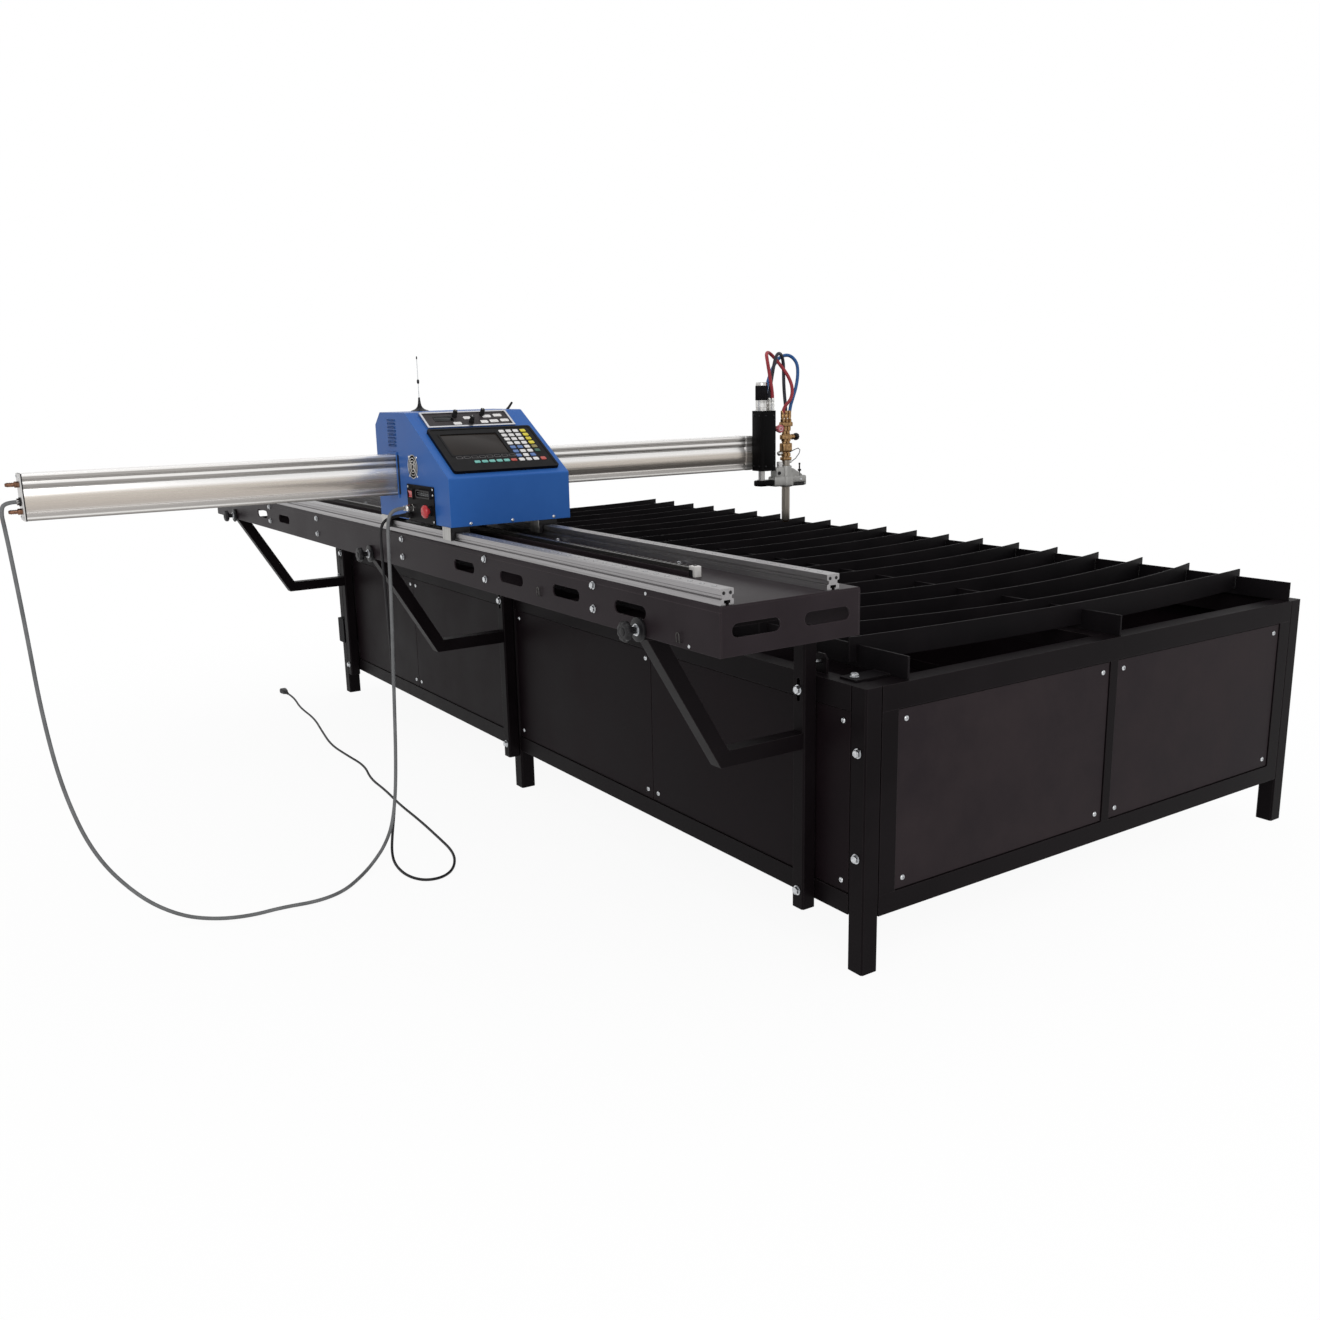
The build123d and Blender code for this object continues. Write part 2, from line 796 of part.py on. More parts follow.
def tie_lugs():
    """Upright lugs on the table's side rail, behind each strut."""
    solids = []
    for station in strut_stations:
        x = (station - lug_width / 2, station + lug_width / 2)
        lug = block(x, (lug_offset, lug_offset + lug_thickness), (table_height, table_height + lug_height))
        solids.append(chamfer(lug.edges().filter_by(Axis.Y).group_by(Axis.Z)[-1], lug_width / 4))
    return solids


def strut_bolts():
    """Bolts of the struts and of the legs, and the studs from the struts to the lugs."""
    solids = []
    heights = (top_rail_base + top_rail_height / 2, low_rail_base + low_rail_height / 2)
    for station in strut_stations:
        for z in heights:
            solids.append(bolt((station, -strut_width, z), (0, -1, 0), bolt_head_width, bolt_head_height))
        z = table_height + stud_rise
        solids.append(rod((station, 0, z), (station, lug_offset, z), stud_radius, small_sides))
    for x in (leg_width / 2 - table_end, table_end - leg_width / 2):
        for z in leg_bolt_heights:
            for y, direction in ((0.0, (0, -1, 0)), (table_width, (0, 1, 0))):
                solids.append(bolt((x, y, z), direction, bolt_head_width, bolt_head_height))
    return solids


def arm_profile(half):
    """Foot and rising part of a cranked arm as two (Y, Z) outlines that share a mitre."""
    start = Vector(-strut_width, arm_height)
    elbow = Vector(-arm_elbow, arm_height)
    rise = (Vector(-arm_top, bearer_bottom) - elbow).normalized()
    foot = (elbow - start).normalized()
    sides = []
    for sign in (1, -1):
        foot_normal = Vector(-foot.Y, foot.X) * sign
        rise_normal = Vector(-rise.Y, rise.X) * sign
        mitre = elbow + (foot_normal + rise_normal) * (half / (1 + foot_normal.dot(rise_normal)))
        reach = (bearer_bottom - mitre.Y) / rise.Y
        sides.append((start + foot_normal * half, mitre, mitre + rise * reach))
    left, right = sides
    return (outline([left[0], left[1], right[1], right[0]]),
            outline([left[1], left[2], right[2], right[1]]))


def support_arms():
    """Cranked square tubes from the struts out to the rail base's outer edge, and the bearers on top."""
    solids = []
    half = arm_width / 2
    tab_y = base_outer + base_sheet + bearer_tab_gap
    for station in strut_stations:
        for outer, inner in zip(arm_profile(half), arm_profile(half - tube_wall)):
            hollow = along_x(inner, (station - half + tube_wall, station + half - tube_wall))
            solids.append(along_x(outer, (station - half, station + half)) - hollow)
        plate = block((station - half, station + half), (tab_y, 0.0), (bearer_bottom, base_bottom))
        tab = block((station - half, station + half), (tab_y, tab_y + bearer_tab_thickness),
                    (base_bottom, base_bottom + bearer_tab_height))
        hole = knob_screw_radius + knob_hole_clearance
        z = base_bottom + knob_rise
        cut = bore((station, tab_y - overshoot, z),
                   (station, tab_y + bearer_tab_thickness + overshoot, z), hole, small_sides)
        solids.append(plate + tab - cut)
    return solids


def side_box_on_panel():
    """Small box on the far side panel, beside the corner leg."""
    start = leg_width + side_box_gap + panel_gap - table_end
    case = block((start, start + side_box[0]), (panel_recess - side_box[1], panel_recess),
                 (side_box_base, side_box_base + side_box[2]))
    return [chamfer(case.edges().filter_by(Axis.Y), tube_corner)]


def rail_base():
    """Long folded sheet cover, open below, with oblong slots in its sides and ends."""
    half = base_length / 2
    cover = block((-half, half), (base_outer, base_inner), (base_bottom, base_top))
    cover = fillet(cover.edges().filter_by(Axis.X).group_by(Axis.Z)[-1], base_bend)
    inside = block((base_sheet - half, half - base_sheet),
                   (base_outer + base_sheet, base_inner - base_sheet),
                   (base_bottom - overshoot, base_top - base_sheet))
    slot = oblong(side_slot_length, side_slot_height)
    middle = base_bottom + base_height / 2
    cuts = [inside]
    for station in side_slot_stations:
        cuts.append(along_y(Pos(station, middle) * slot, (base_outer - overshoot, base_inner + overshoot)))
    end_slot = oblong(end_slot_length, side_slot_height)
    for offset_y in (-end_slot_spacing / 2, end_slot_spacing / 2):
        place = Pos((base_outer + base_inner) / 2 + offset_y, middle)
        cuts.append(along_x(place * end_slot, (-half - overshoot, half + overshoot)))
    for station in strut_stations:
        z = base_bottom + knob_rise
        through = ((station, base_outer - overshoot, z), (station, base_outer + base_sheet + overshoot, z))
        cuts.append(bore(*through, knob_screw_radius + knob_hole_clearance, small_sides))
    return [cover - cuts]


def guide_rails():
    """Two grooved aluminium rails with a slot along the bottom for their fixings."""
    side = rail_width / 2
    mid = rail_height / 2
    groove = rail_groove_height / 2
    floor = side - rail_groove_depth
    mouth = rail_slot_mouth / 2
    wide = rail_slot_width / 2
    half_outline = [
        (wide, rail_slot_depth), (wide, rail_slot_lip), (mouth, rail_slot_lip), (mouth, 0), (side, 0),
        (side, mid - groove), (floor, mid - groove / 2), (floor, mid + groove / 2), (side, mid + groove),
        (side, rail_height)]
    mirrored = [(-y, z) for y, z in reversed(half_outline)]
    profile = outline(half_outline + mirrored)
    reach = base_length / 2 - rail_setback
    return [along_x(Pos(y, base_top) * profile, (-reach, reach)) for y in (outer_rail_y, inner_rail_y)]


def rack_outline(length_from, length_to, gap_at):
    """Rack with its back on the first axis and its teeth upwards, with a tooth gap at a given place."""
    pitch_half = gear_pitch / 4 - gear_backlash / 2
    slope = math.tan(math.radians(gear_flank))
    tip_half = pitch_half - gear_addendum * gear_module * slope
    root_half = pitch_half + gear_dedendum * gear_module * slope
    root = pitch_line - gear_dedendum * gear_module
    first = math.ceil((length_from + root_half - gap_at) / gear_pitch - 0.5)
    last = math.floor((length_to - root_half - gap_at) / gear_pitch - 0.5)
    points = [(length_from, 0), (length_from, root)]
    for index in range(first, last + 1):
        middle = gap_at + (index + 0.5) * gear_pitch
        points += [(middle - root_half, root), (middle - tip_half, rack_depth),
                   (middle + tip_half, rack_depth), (middle + root_half, root)]
    return outline(points + [(length_to, root), (length_to, 0)])


def rack():
    teeth = rack_outline(rack_end - rack_length, rack_end, x_gear[0])
    return [along_z(Pos(0, rack_back) * teeth, (base_top, base_top + rack_height))]


def base_hardware():
    """Bolt pairs along the base's outer side, and the stops at the rack's ends."""
    solids = []
    for station in base_bolt_stations:
        for z in (base_bottom + base_bolt_rise, base_bottom + base_bolt_rise + base_bolt_spacing):
            solids.append(bolt((station, base_outer, z), (0, -1, 0), base_bolt_width, base_bolt_head))
    for x in ((rack_end, rack_end + rack_stop_length),
              (rack_end - rack_length - rack_stop_length, rack_end - rack_length)):
        solids.append(block(x, (rack_back, rack_back + rack_depth), (base_top, base_top + rack_stop_height)))
    return solids


def arm_knob(station):
    """Round hand knob whose screw clamps the rail base to its bearer."""
    z = base_bottom + knob_rise
    face = base_outer - knob_gap
    front = face - knob_thickness
    grip = rod((station, face, z), (station, front, z), knob_radius, knob_flutes)
    screw_end = base_outer + base_sheet + bearer_tab_gap + bearer_tab_thickness
    screw = rod((station, face, z), (station, screw_end, z), knob_screw_radius, small_sides)
    cap = rod((station, front, z), (station, front - knob_cap_height, z), knob_cap_radius, small_sides)
    return [grip + screw + cap]


def casing_outline():
    """Side view of the casing: upright front, sloped console, flat roof, chamfered back."""
    corners = [
        (box_back, box_bottom), (box_front, box_bottom), (box_front, box_bottom + box_front_height),
        (console_top_x, box_top), (box_back + chamfer_run, box_top), (box_back, box_top - chamfer_drop)]
    face = outline(corners)
    for corner, radius in zip(corners[2:], (casing_bend, console_bend, casing_bend, casing_bend)):
        face = fillet(face.vertices().sort_by_distance((corner[0], corner[1], 0))[0], radius)
    return face


def carriage_casing():
    """Blue sheet casing, open below, with beam windows, louvres, fan hole and switch cut-outs."""
    face = casing_outline()
    inner = offset(face, -casing_sheet)
    inside_y = (box_outer + casing_sheet, box_inner - casing_sheet)
    cuts = [along_y(inner, inside_y),
            block((box_back + casing_sheet, box_front - casing_sheet), inside_y,
                  (box_bottom - overshoot, box_bottom + 2 * casing_sheet))]
    window = collar_outline(collar_wall + collar_clearance / 2)
    cuts.append(along_y(window, (box_outer - overshoot, box_inner + overshoot)))
    outer_wall = (box_outer - overshoot, box_outer + casing_sheet + overshoot)
    for station in louvre_columns:
        for row in range(louvre_rows):
            z = box_top - louvre_top_drop - row * louvre_pitch
            cuts.append(block((station - louvre_length / 2, station + louvre_length / 2), outer_wall,
                              (z - louvre_height, z)))
    fan_hole = RegularPolygon(fan_radius, large_sides)
    cuts.append(along_y(Pos(fan_station, box_bottom + fan_rise) * fan_hole, outer_wall))
    cuts += plate_holes(outer_wall)
    return [along_y(face, (box_outer, box_inner)) - cuts]


def collar_outline(margin):
    """Outline round the beam and its rack, grown by a margin."""
    grow = margin + collar_clearance
    beam = Pos(beam_mid_x, beam_mid_z) * Rectangle(beam_depth + 2 * grow, beam_height + 2 * grow)
    rack_room = Rectangle(rack_depth + 2 * grow, rack_height + 2 * grow)
    return beam + Pos(beam_x[0] - rack_depth / 2, beam_mid_z) * rack_room


def beam_collars():
    """Plastic collars in both sides of the casing, which the beam slides through."""
    ring = collar_outline(collar_wall) - collar_outline(0.0)
    outer = (box_outer - collar_proud, box_outer - collar_proud + collar_length)
    inner = (box_inner + collar_proud - collar_length, box_inner + collar_proud)
    return [along_y(ring, y) for y in (outer, inner)]


def chassis():
    """Floor plate of the carriage, with a hole for the long drive's shaft."""
    edge = casing_sheet + chassis_gap
    plate = block((box_back + edge, box_front - edge), (box_outer + edge, box_inner - edge),
                  (box_bottom, box_bottom + chassis_thickness))
    hole = bore((*x_gear, box_bottom - overshoot), (*x_gear, box_bottom + chassis_thickness + overshoot),
                shaft_radius + chassis_hole_clearance)
    return [plate - hole]


def rail_sliders():
    """Four blocks that straddle the guide rails under the carriage."""
    solids = []
    half = rail_width / 2
    z = (box_bottom - slider_drop, box_bottom)
    for y in (outer_rail_y, inner_rail_y):
        for x0 in (box_back + slider_inset, box_front - slider_inset - slider_length):
            x = (x0, x0 + slider_length)
            body = block(x, (y - half - slider_wall, y + half + slider_wall), z)
            channel = block((x[0] - overshoot, x[1] + overshoot),
                            (y - half - slider_clearance, y + half + slider_clearance),
                            (z[0] - overshoot, rail_top + slider_clearance))
            solids.append(body - channel)
    return solids


def drive_motors():
    """Square motors on the chassis: one over the long rack, one beside the beam."""
    floor = box_bottom + chassis_thickness
    motors = []
    for place, from_below in ((x_gear, True), (y_gear, False)):
        half = motor_size / 2
        body = block((place[0] - half, place[0] + half), (place[1] - half, place[1] + half),
                     (floor, floor + motor_height))
        body = chamfer(body.edges().filter_by(Axis.Z), motor_corner)
        if from_below:
            seat = ((*place, floor - overshoot), (*place, floor + motor_bore_depth))
        else:
            top = floor + motor_height
            seat = ((*place, top - motor_bore_depth), (*place, top + overshoot))
        motors.append(body - bore(*seat, shaft_radius + shaft_clearance))
    return motors


def pinion(place, toward, z):
    """Gear wheel with one tooth pointing along the given angle."""
    points = []
    step = 360.0 / gear_teeth
    for index in range(gear_teeth):
        middle = math.radians(toward + index * step)
        for radius, half in ((gear_root, -gear_root_half), (gear_tip, -gear_tip_half),
                             (gear_tip, gear_tip_half), (gear_root, gear_root_half)):
            angle = middle + math.asin(half / radius)
            points.append((radius * math.cos(angle), radius * math.sin(angle)))
    return along_z(Pos(*place) * outline(points), z)


def x_pinion():
    """Pinion of the long drive, under the chassis, with its shaft up into the motor."""
    z = (base_top + rack_height / 2 - gear_thickness / 2, base_top + rack_height / 2 + gear_thickness / 2)
    end = box_bottom + chassis_thickness + motor_bore_depth - shaft_end_gap
    return [pinion(x_gear, -90.0, z) + rod((*x_gear, z[1]), (*x_gear, end), shaft_radius)]


def y_pinion():
    """Pinion of the beam's drive, behind the beam, with its shaft down into the motor."""
    z = (beam_mid_z - gear_thickness / 2, beam_mid_z + gear_thickness / 2)
    end = box_bottom + chassis_thickness + motor_height - motor_bore_depth + shaft_end_gap
    return [pinion(y_gear, 0.0, z) + rod((*y_gear, end), (*y_gear, z[0]), shaft_radius)]


def thc_panel():
    """Torch-height panel with a raised rim, a display window and holes for its dials."""
    plate = on_console(thc_size, thc_place)
    rim_size = (thc_size[0], thc_size[1], thc_frame_height)
    rim = on_console(rim_size, thc_place, thc_size[2])
    opening = (thc_size[0] - 2 * thc_frame_width, thc_size[1] - 2 * thc_frame_width, thc_frame_height)
    rim -= on_console(opening, thc_place, thc_size[2])
    window = on_console(thc_display_size, thc_display_place, thc_size[2] - thc_display_size[2])
    holes = []
    for slope, across in dial_places:
        hole = RegularPolygon(dial_shaft_radius + dial_shaft_clearance, small_sides, major_radius=False)
        holes.append(extrude(console * Pos(across, -slope, -overshoot) * hole, amount=2 * thc_size[2]))
    return [plate + rim - window - holes]


def dial(place):
    """Fluted turning knob on the torch-height panel."""
    seat = console * Pos(place[1], -place[0], thc_size[2] + dial_gap)
    grip = extrude(seat * RegularPolygon(dial_radius, dial_flutes), amount=dial_height)
    shaft = extrude(seat * RegularPolygon(dial_shaft_radius, small_sides), amount=-thc_size[2])
    return [grip + shaft]


def controller():
    """Controller housing on the console, with a recess for the screen."""
    body = on_console(controller_size, controller_place)
    normal = Vector(*console_normal)
    upright = body.edges().filter_by(lambda edge: abs((edge % 0.5).dot(normal)) > 0.999)
    body = fillet(upright, controller_corner)
    recess = (screen_size[0] + 2 * screen_gap, screen_size[1] + 2 * screen_gap, screen_size[2])
    return [body - on_console(recess, screen_place, controller_size[2] - screen_size[2])]


def screen():
    return [on_console(screen_size, screen_place, controller_size[2] - screen_size[2])]


def keypad():
    """Keys beside the screen and the row of soft keys below it."""
    rows = [key_first_row + row * key_row_pitch for row in range(key_row_count)]
    places = [(row, column) for row in rows for column in key_columns]
    places += [(rows[-1], across) for across in soft_keys]
    return [on_console(key_size, place, controller_size[2]) for place in places]


def plate_point(station, rise, out=0.0):
    """Point on the connector plate's outer face."""
    return (station, plate_face - out, box_bottom + rise)


def plate_holes(y):
    """Cut-outs through the connector plate and the casing for the rocker and the push button."""
    room = (rocker_size[0] / 2 + rocker_clearance, rocker_size[1] / 2 + rocker_clearance)
    z = box_bottom + rocker_rise
    stem = RegularPolygon(stop_stem_radius + stop_stem_clearance, round_sides, major_radius=False)
    stem = Pos(stop_station, box_bottom + stop_rise) * stem
    return [block((rocker_station - room[0], rocker_station + room[0]), y, (z - room[1], z + room[1])),
            along_y(stem, y)]


def connector_plate():
    """Black plate with the rocker's rim and the push button's collar."""
    z = box_bottom + rocker_rise
    rim = [size / 2 + rocker_clearance + rocker_rim for size in rocker_size[:2]]
    plate = block(plate_span, (plate_face, box_outer), (box_bottom, box_bottom + plate_height))
    plate += block((rocker_station - rim[0], rocker_station + rim[0]),
                   (plate_face - rocker_rim_height, plate_face), (z - rim[1], z + rim[1]))
    plate += rod(plate_point(stop_station, stop_rise),
                 plate_point(stop_station, stop_rise, stop_collar_height), stop_collar_radius)
    plate -= plate_holes((plate_face - 2 * stop_collar_height, box_outer + overshoot))
    return [plate - rocker_pin(bore, rocker_pin_radius + shaft_clearance, rocker_pin_end_gap)]


def sockets():
    """Data socket, cable connector and mains gland on the connector plate."""
    x = (socket_place[0] - socket_size[0] / 2, socket_place[0] + socket_size[0] / 2)
    z = box_bottom + socket_place[1]
    shell = block(x, (plate_face - socket_size[2], plate_face),
                  (z - socket_size[1] / 2, z + socket_size[1] / 2))
    half = socket_size[1] / 2 - socket_wall
    inner = block((x[0] + socket_wall, x[1] - socket_wall),
                  (plate_face - socket_size[2] - overshoot, plate_face - socket_floor), (z - half, z + half))
    connector = rod(plate_point(connector_station, connector_rise),
                    plate_point(connector_station, connector_rise, connector_length), connector_radius)
    gland = rod(plate_point(gland_station, gland_rise), plate_point(gland_station, gland_rise, gland_length),
                gland_radius)
    return [shell - inner, connector, gland]


def rocker_pin(shape, radius, end_gap=0.0):
    """Pivot pin of the rocker or the seat for it, from one side of its rim to the other."""
    pivot = plate_point(rocker_station, rocker_rise, rocker_rim_height - rocker_size[2] / 2)
    reach = rocker_size[0] / 2 + rocker_clearance + rocker_pin_seat + end_gap
    return Pos(*pivot) * shape((-reach, 0, 0), (reach, 0, 0), radius, small_sides)


def power_rocker():
    """Rocker switch, tipped to one side in its rim."""
    half = [size / 2 for size in rocker_size]
    key = outline([(-half[2], -half[1]), (half[2], -half[1]), (half[2], half[1]), (-half[2], half[1]),
                   (-half[2] / 3, 0)])
    key = along_x(key, (-half[0], half[0]))
    pivot = plate_point(rocker_station, rocker_rise, rocker_rim_height - half[2])
    return [Pos(*pivot) * Rot(rocker_tilt, 0, 0) * key + rocker_pin(rod, rocker_pin_radius)]


def stop_button():
    """Red mushroom button whose stem slides into the plate."""
    seat = stop_collar_height + stop_travel + stop_rest_gap
    head = rod(plate_point(stop_station, stop_rise, seat),
                       plate_point(stop_station, stop_rise, seat + stop_head_thickness),
                       stop_head_radius, large_sides)
    head = chamfer(head.faces().sort_by(Axis.Y)[0].edges(), stop_head_thickness / 4)
    stem = rod(plate_point(stop_station, stop_rise, -plate_thickness),
               plate_point(stop_station, stop_rise, seat), stop_stem_radius)
    return [head + stem]


def ring(radius, width):
    """Flat ring of short straight bars."""
    return RegularPolygon(radius + width / 2, round_sides) - RegularPolygon(radius - width / 2, round_sides)


def fan_guard():
    """Fan frame inside the casing wall, and the wire guard in front of the hole."""
    middle = Pos(fan_station, box_bottom + fan_rise)
    frame_y = (box_outer + casing_sheet, box_outer + casing_sheet + fan_frame_depth)
    strut_y = (frame_y[1] - fan_strut_depth, frame_y[1])
    opening = RegularPolygon(fan_radius, large_sides)
    frame = along_y(middle * (Rectangle(fan_frame_size, fan_frame_size) - opening), frame_y)
    bars = Rectangle(fan_frame_size, fan_strut_width) + Rectangle(fan_strut_width, fan_frame_size)
    frame += along_y(middle * bars, strut_y)
    guard = ring(fan_radius, 2 * guard_bar)
    for radius in guard_rings:
        guard += ring(radius, guard_bar)
    guard += Rectangle(2 * fan_radius, guard_bar) + Rectangle(guard_bar, 2 * fan_radius)
    return [frame, along_y(middle * guard, (box_outer - guard_thickness, box_outer))]


def fan_rotor():
    """Hub with pitched blades, in front of the fan's struts."""
    back = box_outer + casing_sheet + fan_frame_depth - fan_strut_depth - fan_seat_gap
    front = box_outer + casing_sheet + fan_gap
    centre = (fan_station, box_bottom + fan_rise)
    rotor = rod((centre[0], back, centre[1]), (centre[0], front, centre[1]), fan_hub_radius)
    span = (fan_hub_radius - overshoot, fan_radius - fan_gap)
    depth = (back - front - fan_gap) / math.cos(math.radians(fan_blade_pitch)) - 2 * fan_blade_thickness
    for index in range(fan_blades):
        blade = Pos((span[0] + span[1]) / 2, 0, 0) * Rot(fan_blade_pitch, 0, 0) * Box(
            span[1] - span[0], depth, fan_blade_thickness)
        rotor += Pos(centre[0], (front + back) / 2, centre[1]) * Rot(0, index * 360 / fan_blades, 0) * blade
    return [rotor]


def aerials():
    """Aerials on the roof: a mast with a bead on a flared foot, and a short leaning stub."""
    x, y = aerial_place
    waist = box_top + aerial_waist_rise
    foot = cone((x, y, box_top), (x, y, waist), aerial_base_radius, aerial_waist_radius)
    foot += cone((x, y, waist), (x, y, box_top + aerial_base_height), aerial_waist_radius, aerial_mast_radius)
    mast = rod((x, y, box_top), (x, y, box_top + aerial_height), aerial_mast_radius, small_sides)
    bead = box_top + aerial_height * aerial_bead_place
    half = aerial_bead_length / 2
    mast += rod((x, y, bead - half), (x, y, bead + half), aerial_bead_radius)
    lean = Vector(0, math.sin(math.radians(stub_lean)), math.cos(math.radians(stub_lean)))
    base = Vector(*stub_place, box_top)
    stub = rod(base - lean * stub_sunk, base + lean * stub_length, stub_radius)
    casing = along_y(casing_outline(), (box_outer, box_inner))
    return [foot + mast - casing, stub - casing]


def beam():
    """Hollow beam with bands and grooves along its front face, the wide band hollowed."""
    front = beam_x[1]
    rises = [beam_bottom + band for band in beam_bands]
    points = [(beam_x[0], beam_bottom), (front, beam_bottom)]
    for index, (low, high) in enumerate(zip(rises[0::2], rises[1::2])):
        points += [(front, low), (front - beam_groove, low), (front - beam_groove, high), (front, high)]
        if index == 0:
            hollow = (high + beam_hollow_run, rises[2] - beam_hollow_run)
            points += [(front - beam_hollow, z) for z in hollow]
    points += [(front, beam_top), (beam_x[0], beam_top)]
    room = Rectangle(beam_depth - 2 * beam_wall - beam_groove, beam_height - 2 * beam_wall)
    room = Pos(beam_mid_x - beam_groove / 2, beam_mid_z) * room
    return [along_y(outline(points) - room, (beam_outer_end, beam_torch_end))]


def beam_rack():
    """Rack along the beam's back, with its teeth towards the machine's far end."""
    end = beam_rack_start + beam_rack_length
    teeth = rack_outline(beam_rack_start, end, y_gear[1])
    plane = Plane(origin=(beam_x[0], 0, beam_rack_z[0]), x_dir=(0, 1, 0), z_dir=(0, 0, 1))
    return [extrude(plane * teeth, amount=rack_height)]


def beam_end_plate():
    """Black plates on the beam's ends, the outer one with the grey cable's gland."""
    y = (beam_outer_end - end_plate_thickness, beam_outer_end)
    plate = block(beam_x, y, (beam_bottom, beam_top))
    z = beam_bottom + beam_gland_rise
    plate += rod((beam_mid_x, y[0], z), (beam_mid_x, y[0] - beam_gland_length, z), beam_gland_radius)
    cover = block(beam_x, (beam_torch_end, beam_torch_end + end_plate_thickness), (beam_bottom, beam_top))
    return [plate, cover]


def gas_nipples():
    """Brass nipples: two on the beam's outer end, three on the lifter's roof."""
    face = beam_outer_end - end_plate_thickness
    solids = []
    for rise in nipple_rises:
        z = beam_bottom + rise
        middle = face - nipple_length / 2
        nut = rod((beam_mid_x, face, z), (beam_mid_x, middle, z), nipple_radius, small_sides)
        tip = rod((beam_mid_x, middle, z), (beam_mid_x, face - nipple_length, z), nipple_tip_radius,
                  small_sides)
        solids.append(nut + tip)
    for x in hose_stations:
        y = lifter_y[0] + fitting_offset
        top = lifter_z[1] + fitting_height
        solids.append(rod((x, y, lifter_z[1]), (x, y, top), fitting_radius, small_sides))
    return solids


def lifter_body():
    """Lifter housing on the front of the beam's end, bored for the post."""
    body = block(lifter_x, lifter_y, lifter_z)
    body = chamfer(body.edges().filter_by(Axis.Z), lifter_corner)
    bore_top = lifter_z[0] + post_inside + lift_up + post_stroke_room
    guide = rod((lift_x, post_y, lifter_z[0] - overshoot), (lift_x, post_y, bore_top),
                post_radius + post_clearance, large_sides)
    return [body - guide]


def lifter_motor():
    """Motor on the lifter: a bright base and a black rounded cap."""
    roof = lifter_z[1]
    shoulder = roof + lift_motor_base_height
    base = rod((lift_x, post_y, roof), (lift_x, post_y, shoulder), lift_motor_radius, large_sides)
    top = shoulder + lift_cap_height
    cap = rod((lift_x, post_y, shoulder), (lift_x, post_y, top), lift_cap_radius, large_sides)
    cap = chamfer(cap.faces().sort_by(Axis.Z)[-1].edges(), lift_cap_round)
    return [base, cap]


def lift_post():
    """Round post out of the lifter with the flat bracket at its foot."""
    top = lifter_z[0] + post_inside
    post = rod((lift_x, post_y, post_bottom), (lift_x, post_y, top), post_radius, large_sides)
    half = bracket_width / 2
    bracket = block((lift_x - half, lift_x + half),
                    (post_y - bracket_reach, torch_y - clamp_barrel_radius - clamp_arm_length),
                    (post_bottom - bracket_thickness, post_bottom))
    return [post + bracket]


def torch_clamp():
    """Cast clamp round the torch: arm, barrel, split ear with a flange, and the bolt."""
    low, high = clamp_z
    arm = block((lift_x - clamp_arm_width / 2, lift_x + clamp_arm_width / 2),
                (torch_y - clamp_barrel_radius - clamp_arm_length, torch_y), (low, high - clamp_arm_margin))
    barrel = rod((lift_x, torch_y, low), (lift_x, torch_y, high), clamp_barrel_radius, large_sides)
    ear_z = (low + clamp_ear_margin, high - clamp_ear_margin)
    ear = block((lift_x - clamp_ear_width / 2, lift_x + clamp_ear_width / 2),
                (torch_y, torch_y + clamp_ear_reach), ear_z)
    flange = block((lift_x - clamp_flange_width / 2, lift_x + clamp_flange_width / 2),
                   (torch_y, torch_y + clamp_ear_reach - clamp_flange_margin),
                   (ear_z[0], ear_z[0] + clamp_flange_height))
    slit = block((lift_x - clamp_slit / 2, lift_x + clamp_slit / 2),
                 (torch_y, torch_y + clamp_ear_reach + overshoot), (low - overshoot, high + overshoot))
    seat = rod((lift_x, torch_y, low - overshoot), (lift_x, torch_y, high + overshoot),
               torch_radius + torch_clearance, large_sides)
    bolt_y = torch_y + (clamp_barrel_radius + clamp_ear_reach) / 2
    bolt_z = (low + high) / 2
    reach = clamp_ear_width / 2 + clamp_bolt_overhang
    screw = rod((lift_x - reach, bolt_y, bolt_z), (lift_x + reach, bolt_y, bolt_z),
                clamp_bolt_radius, small_sides)
    return [arm + barrel + ear + flange - slit - seat + screw]


def torch():
    """Torch tube through the clamp, its taper and the nozzle."""
    def point(z):
        return (lift_x, torch_y, z)
    collet = torch_foot - torch_taper
    body = rod(point(torch_foot), point(torch_top), torch_radius, large_sides)
    body += cone(point(torch_foot), point(collet), torch_radius, torch_collet_radius, large_sides)
    body += cone(point(collet), point(collet - nozzle_length), nozzle_radius, nozzle_tip_radius)
    return [body]


def torch_valves():
    """Brass valve body on the torch: two columns between three blocks, inlets and two valve bosses."""
    depth, width, height = valve_column
    x = (lift_x - depth / 2, lift_x + depth / 2)
    y = (torch_y - width / 2, torch_y + width / 2)
    middle = torch_top + oxygen_valve_rise
    column = block(x, y, (torch_top, torch_top + valve_foot))
    column += block(x, y, (middle - valve_block_height / 2, middle + valve_block_height / 2))
    column += block(x, y, (valve_top - valve_head_height, valve_top))
    for side in (-valve_tube_spacing / 2, valve_tube_spacing / 2):
        column += rod((lift_x, torch_y + side, torch_top), (lift_x, torch_y + side, valve_top),
                      valve_tube_radius)
    for shift in inlet_offsets:
        inlet = (lift_x, torch_y + shift, valve_top)
        column += rod(inlet, (lift_x, torch_y + shift, valve_top + inlet_height), inlet_radius, small_sides)
    z = torch_top + fuel_valve_rise
    column += block((lift_x - fuel_arm_depth / 2, lift_x + fuel_arm_depth / 2), (y[0] - fuel_arm_length, y[0]),
                    (z - fuel_arm_height / 2, z + fuel_arm_height / 2))
    stem_room = valve_stem_radius + dial_shaft_clearance
    for seat, out, length, radius in valve_seats():
        column += rod(seat - out * length, seat, valve_boss_radius)
        column -= bore(seat, seat - out * valve_stem_length, stem_room, small_sides)
    return [column]


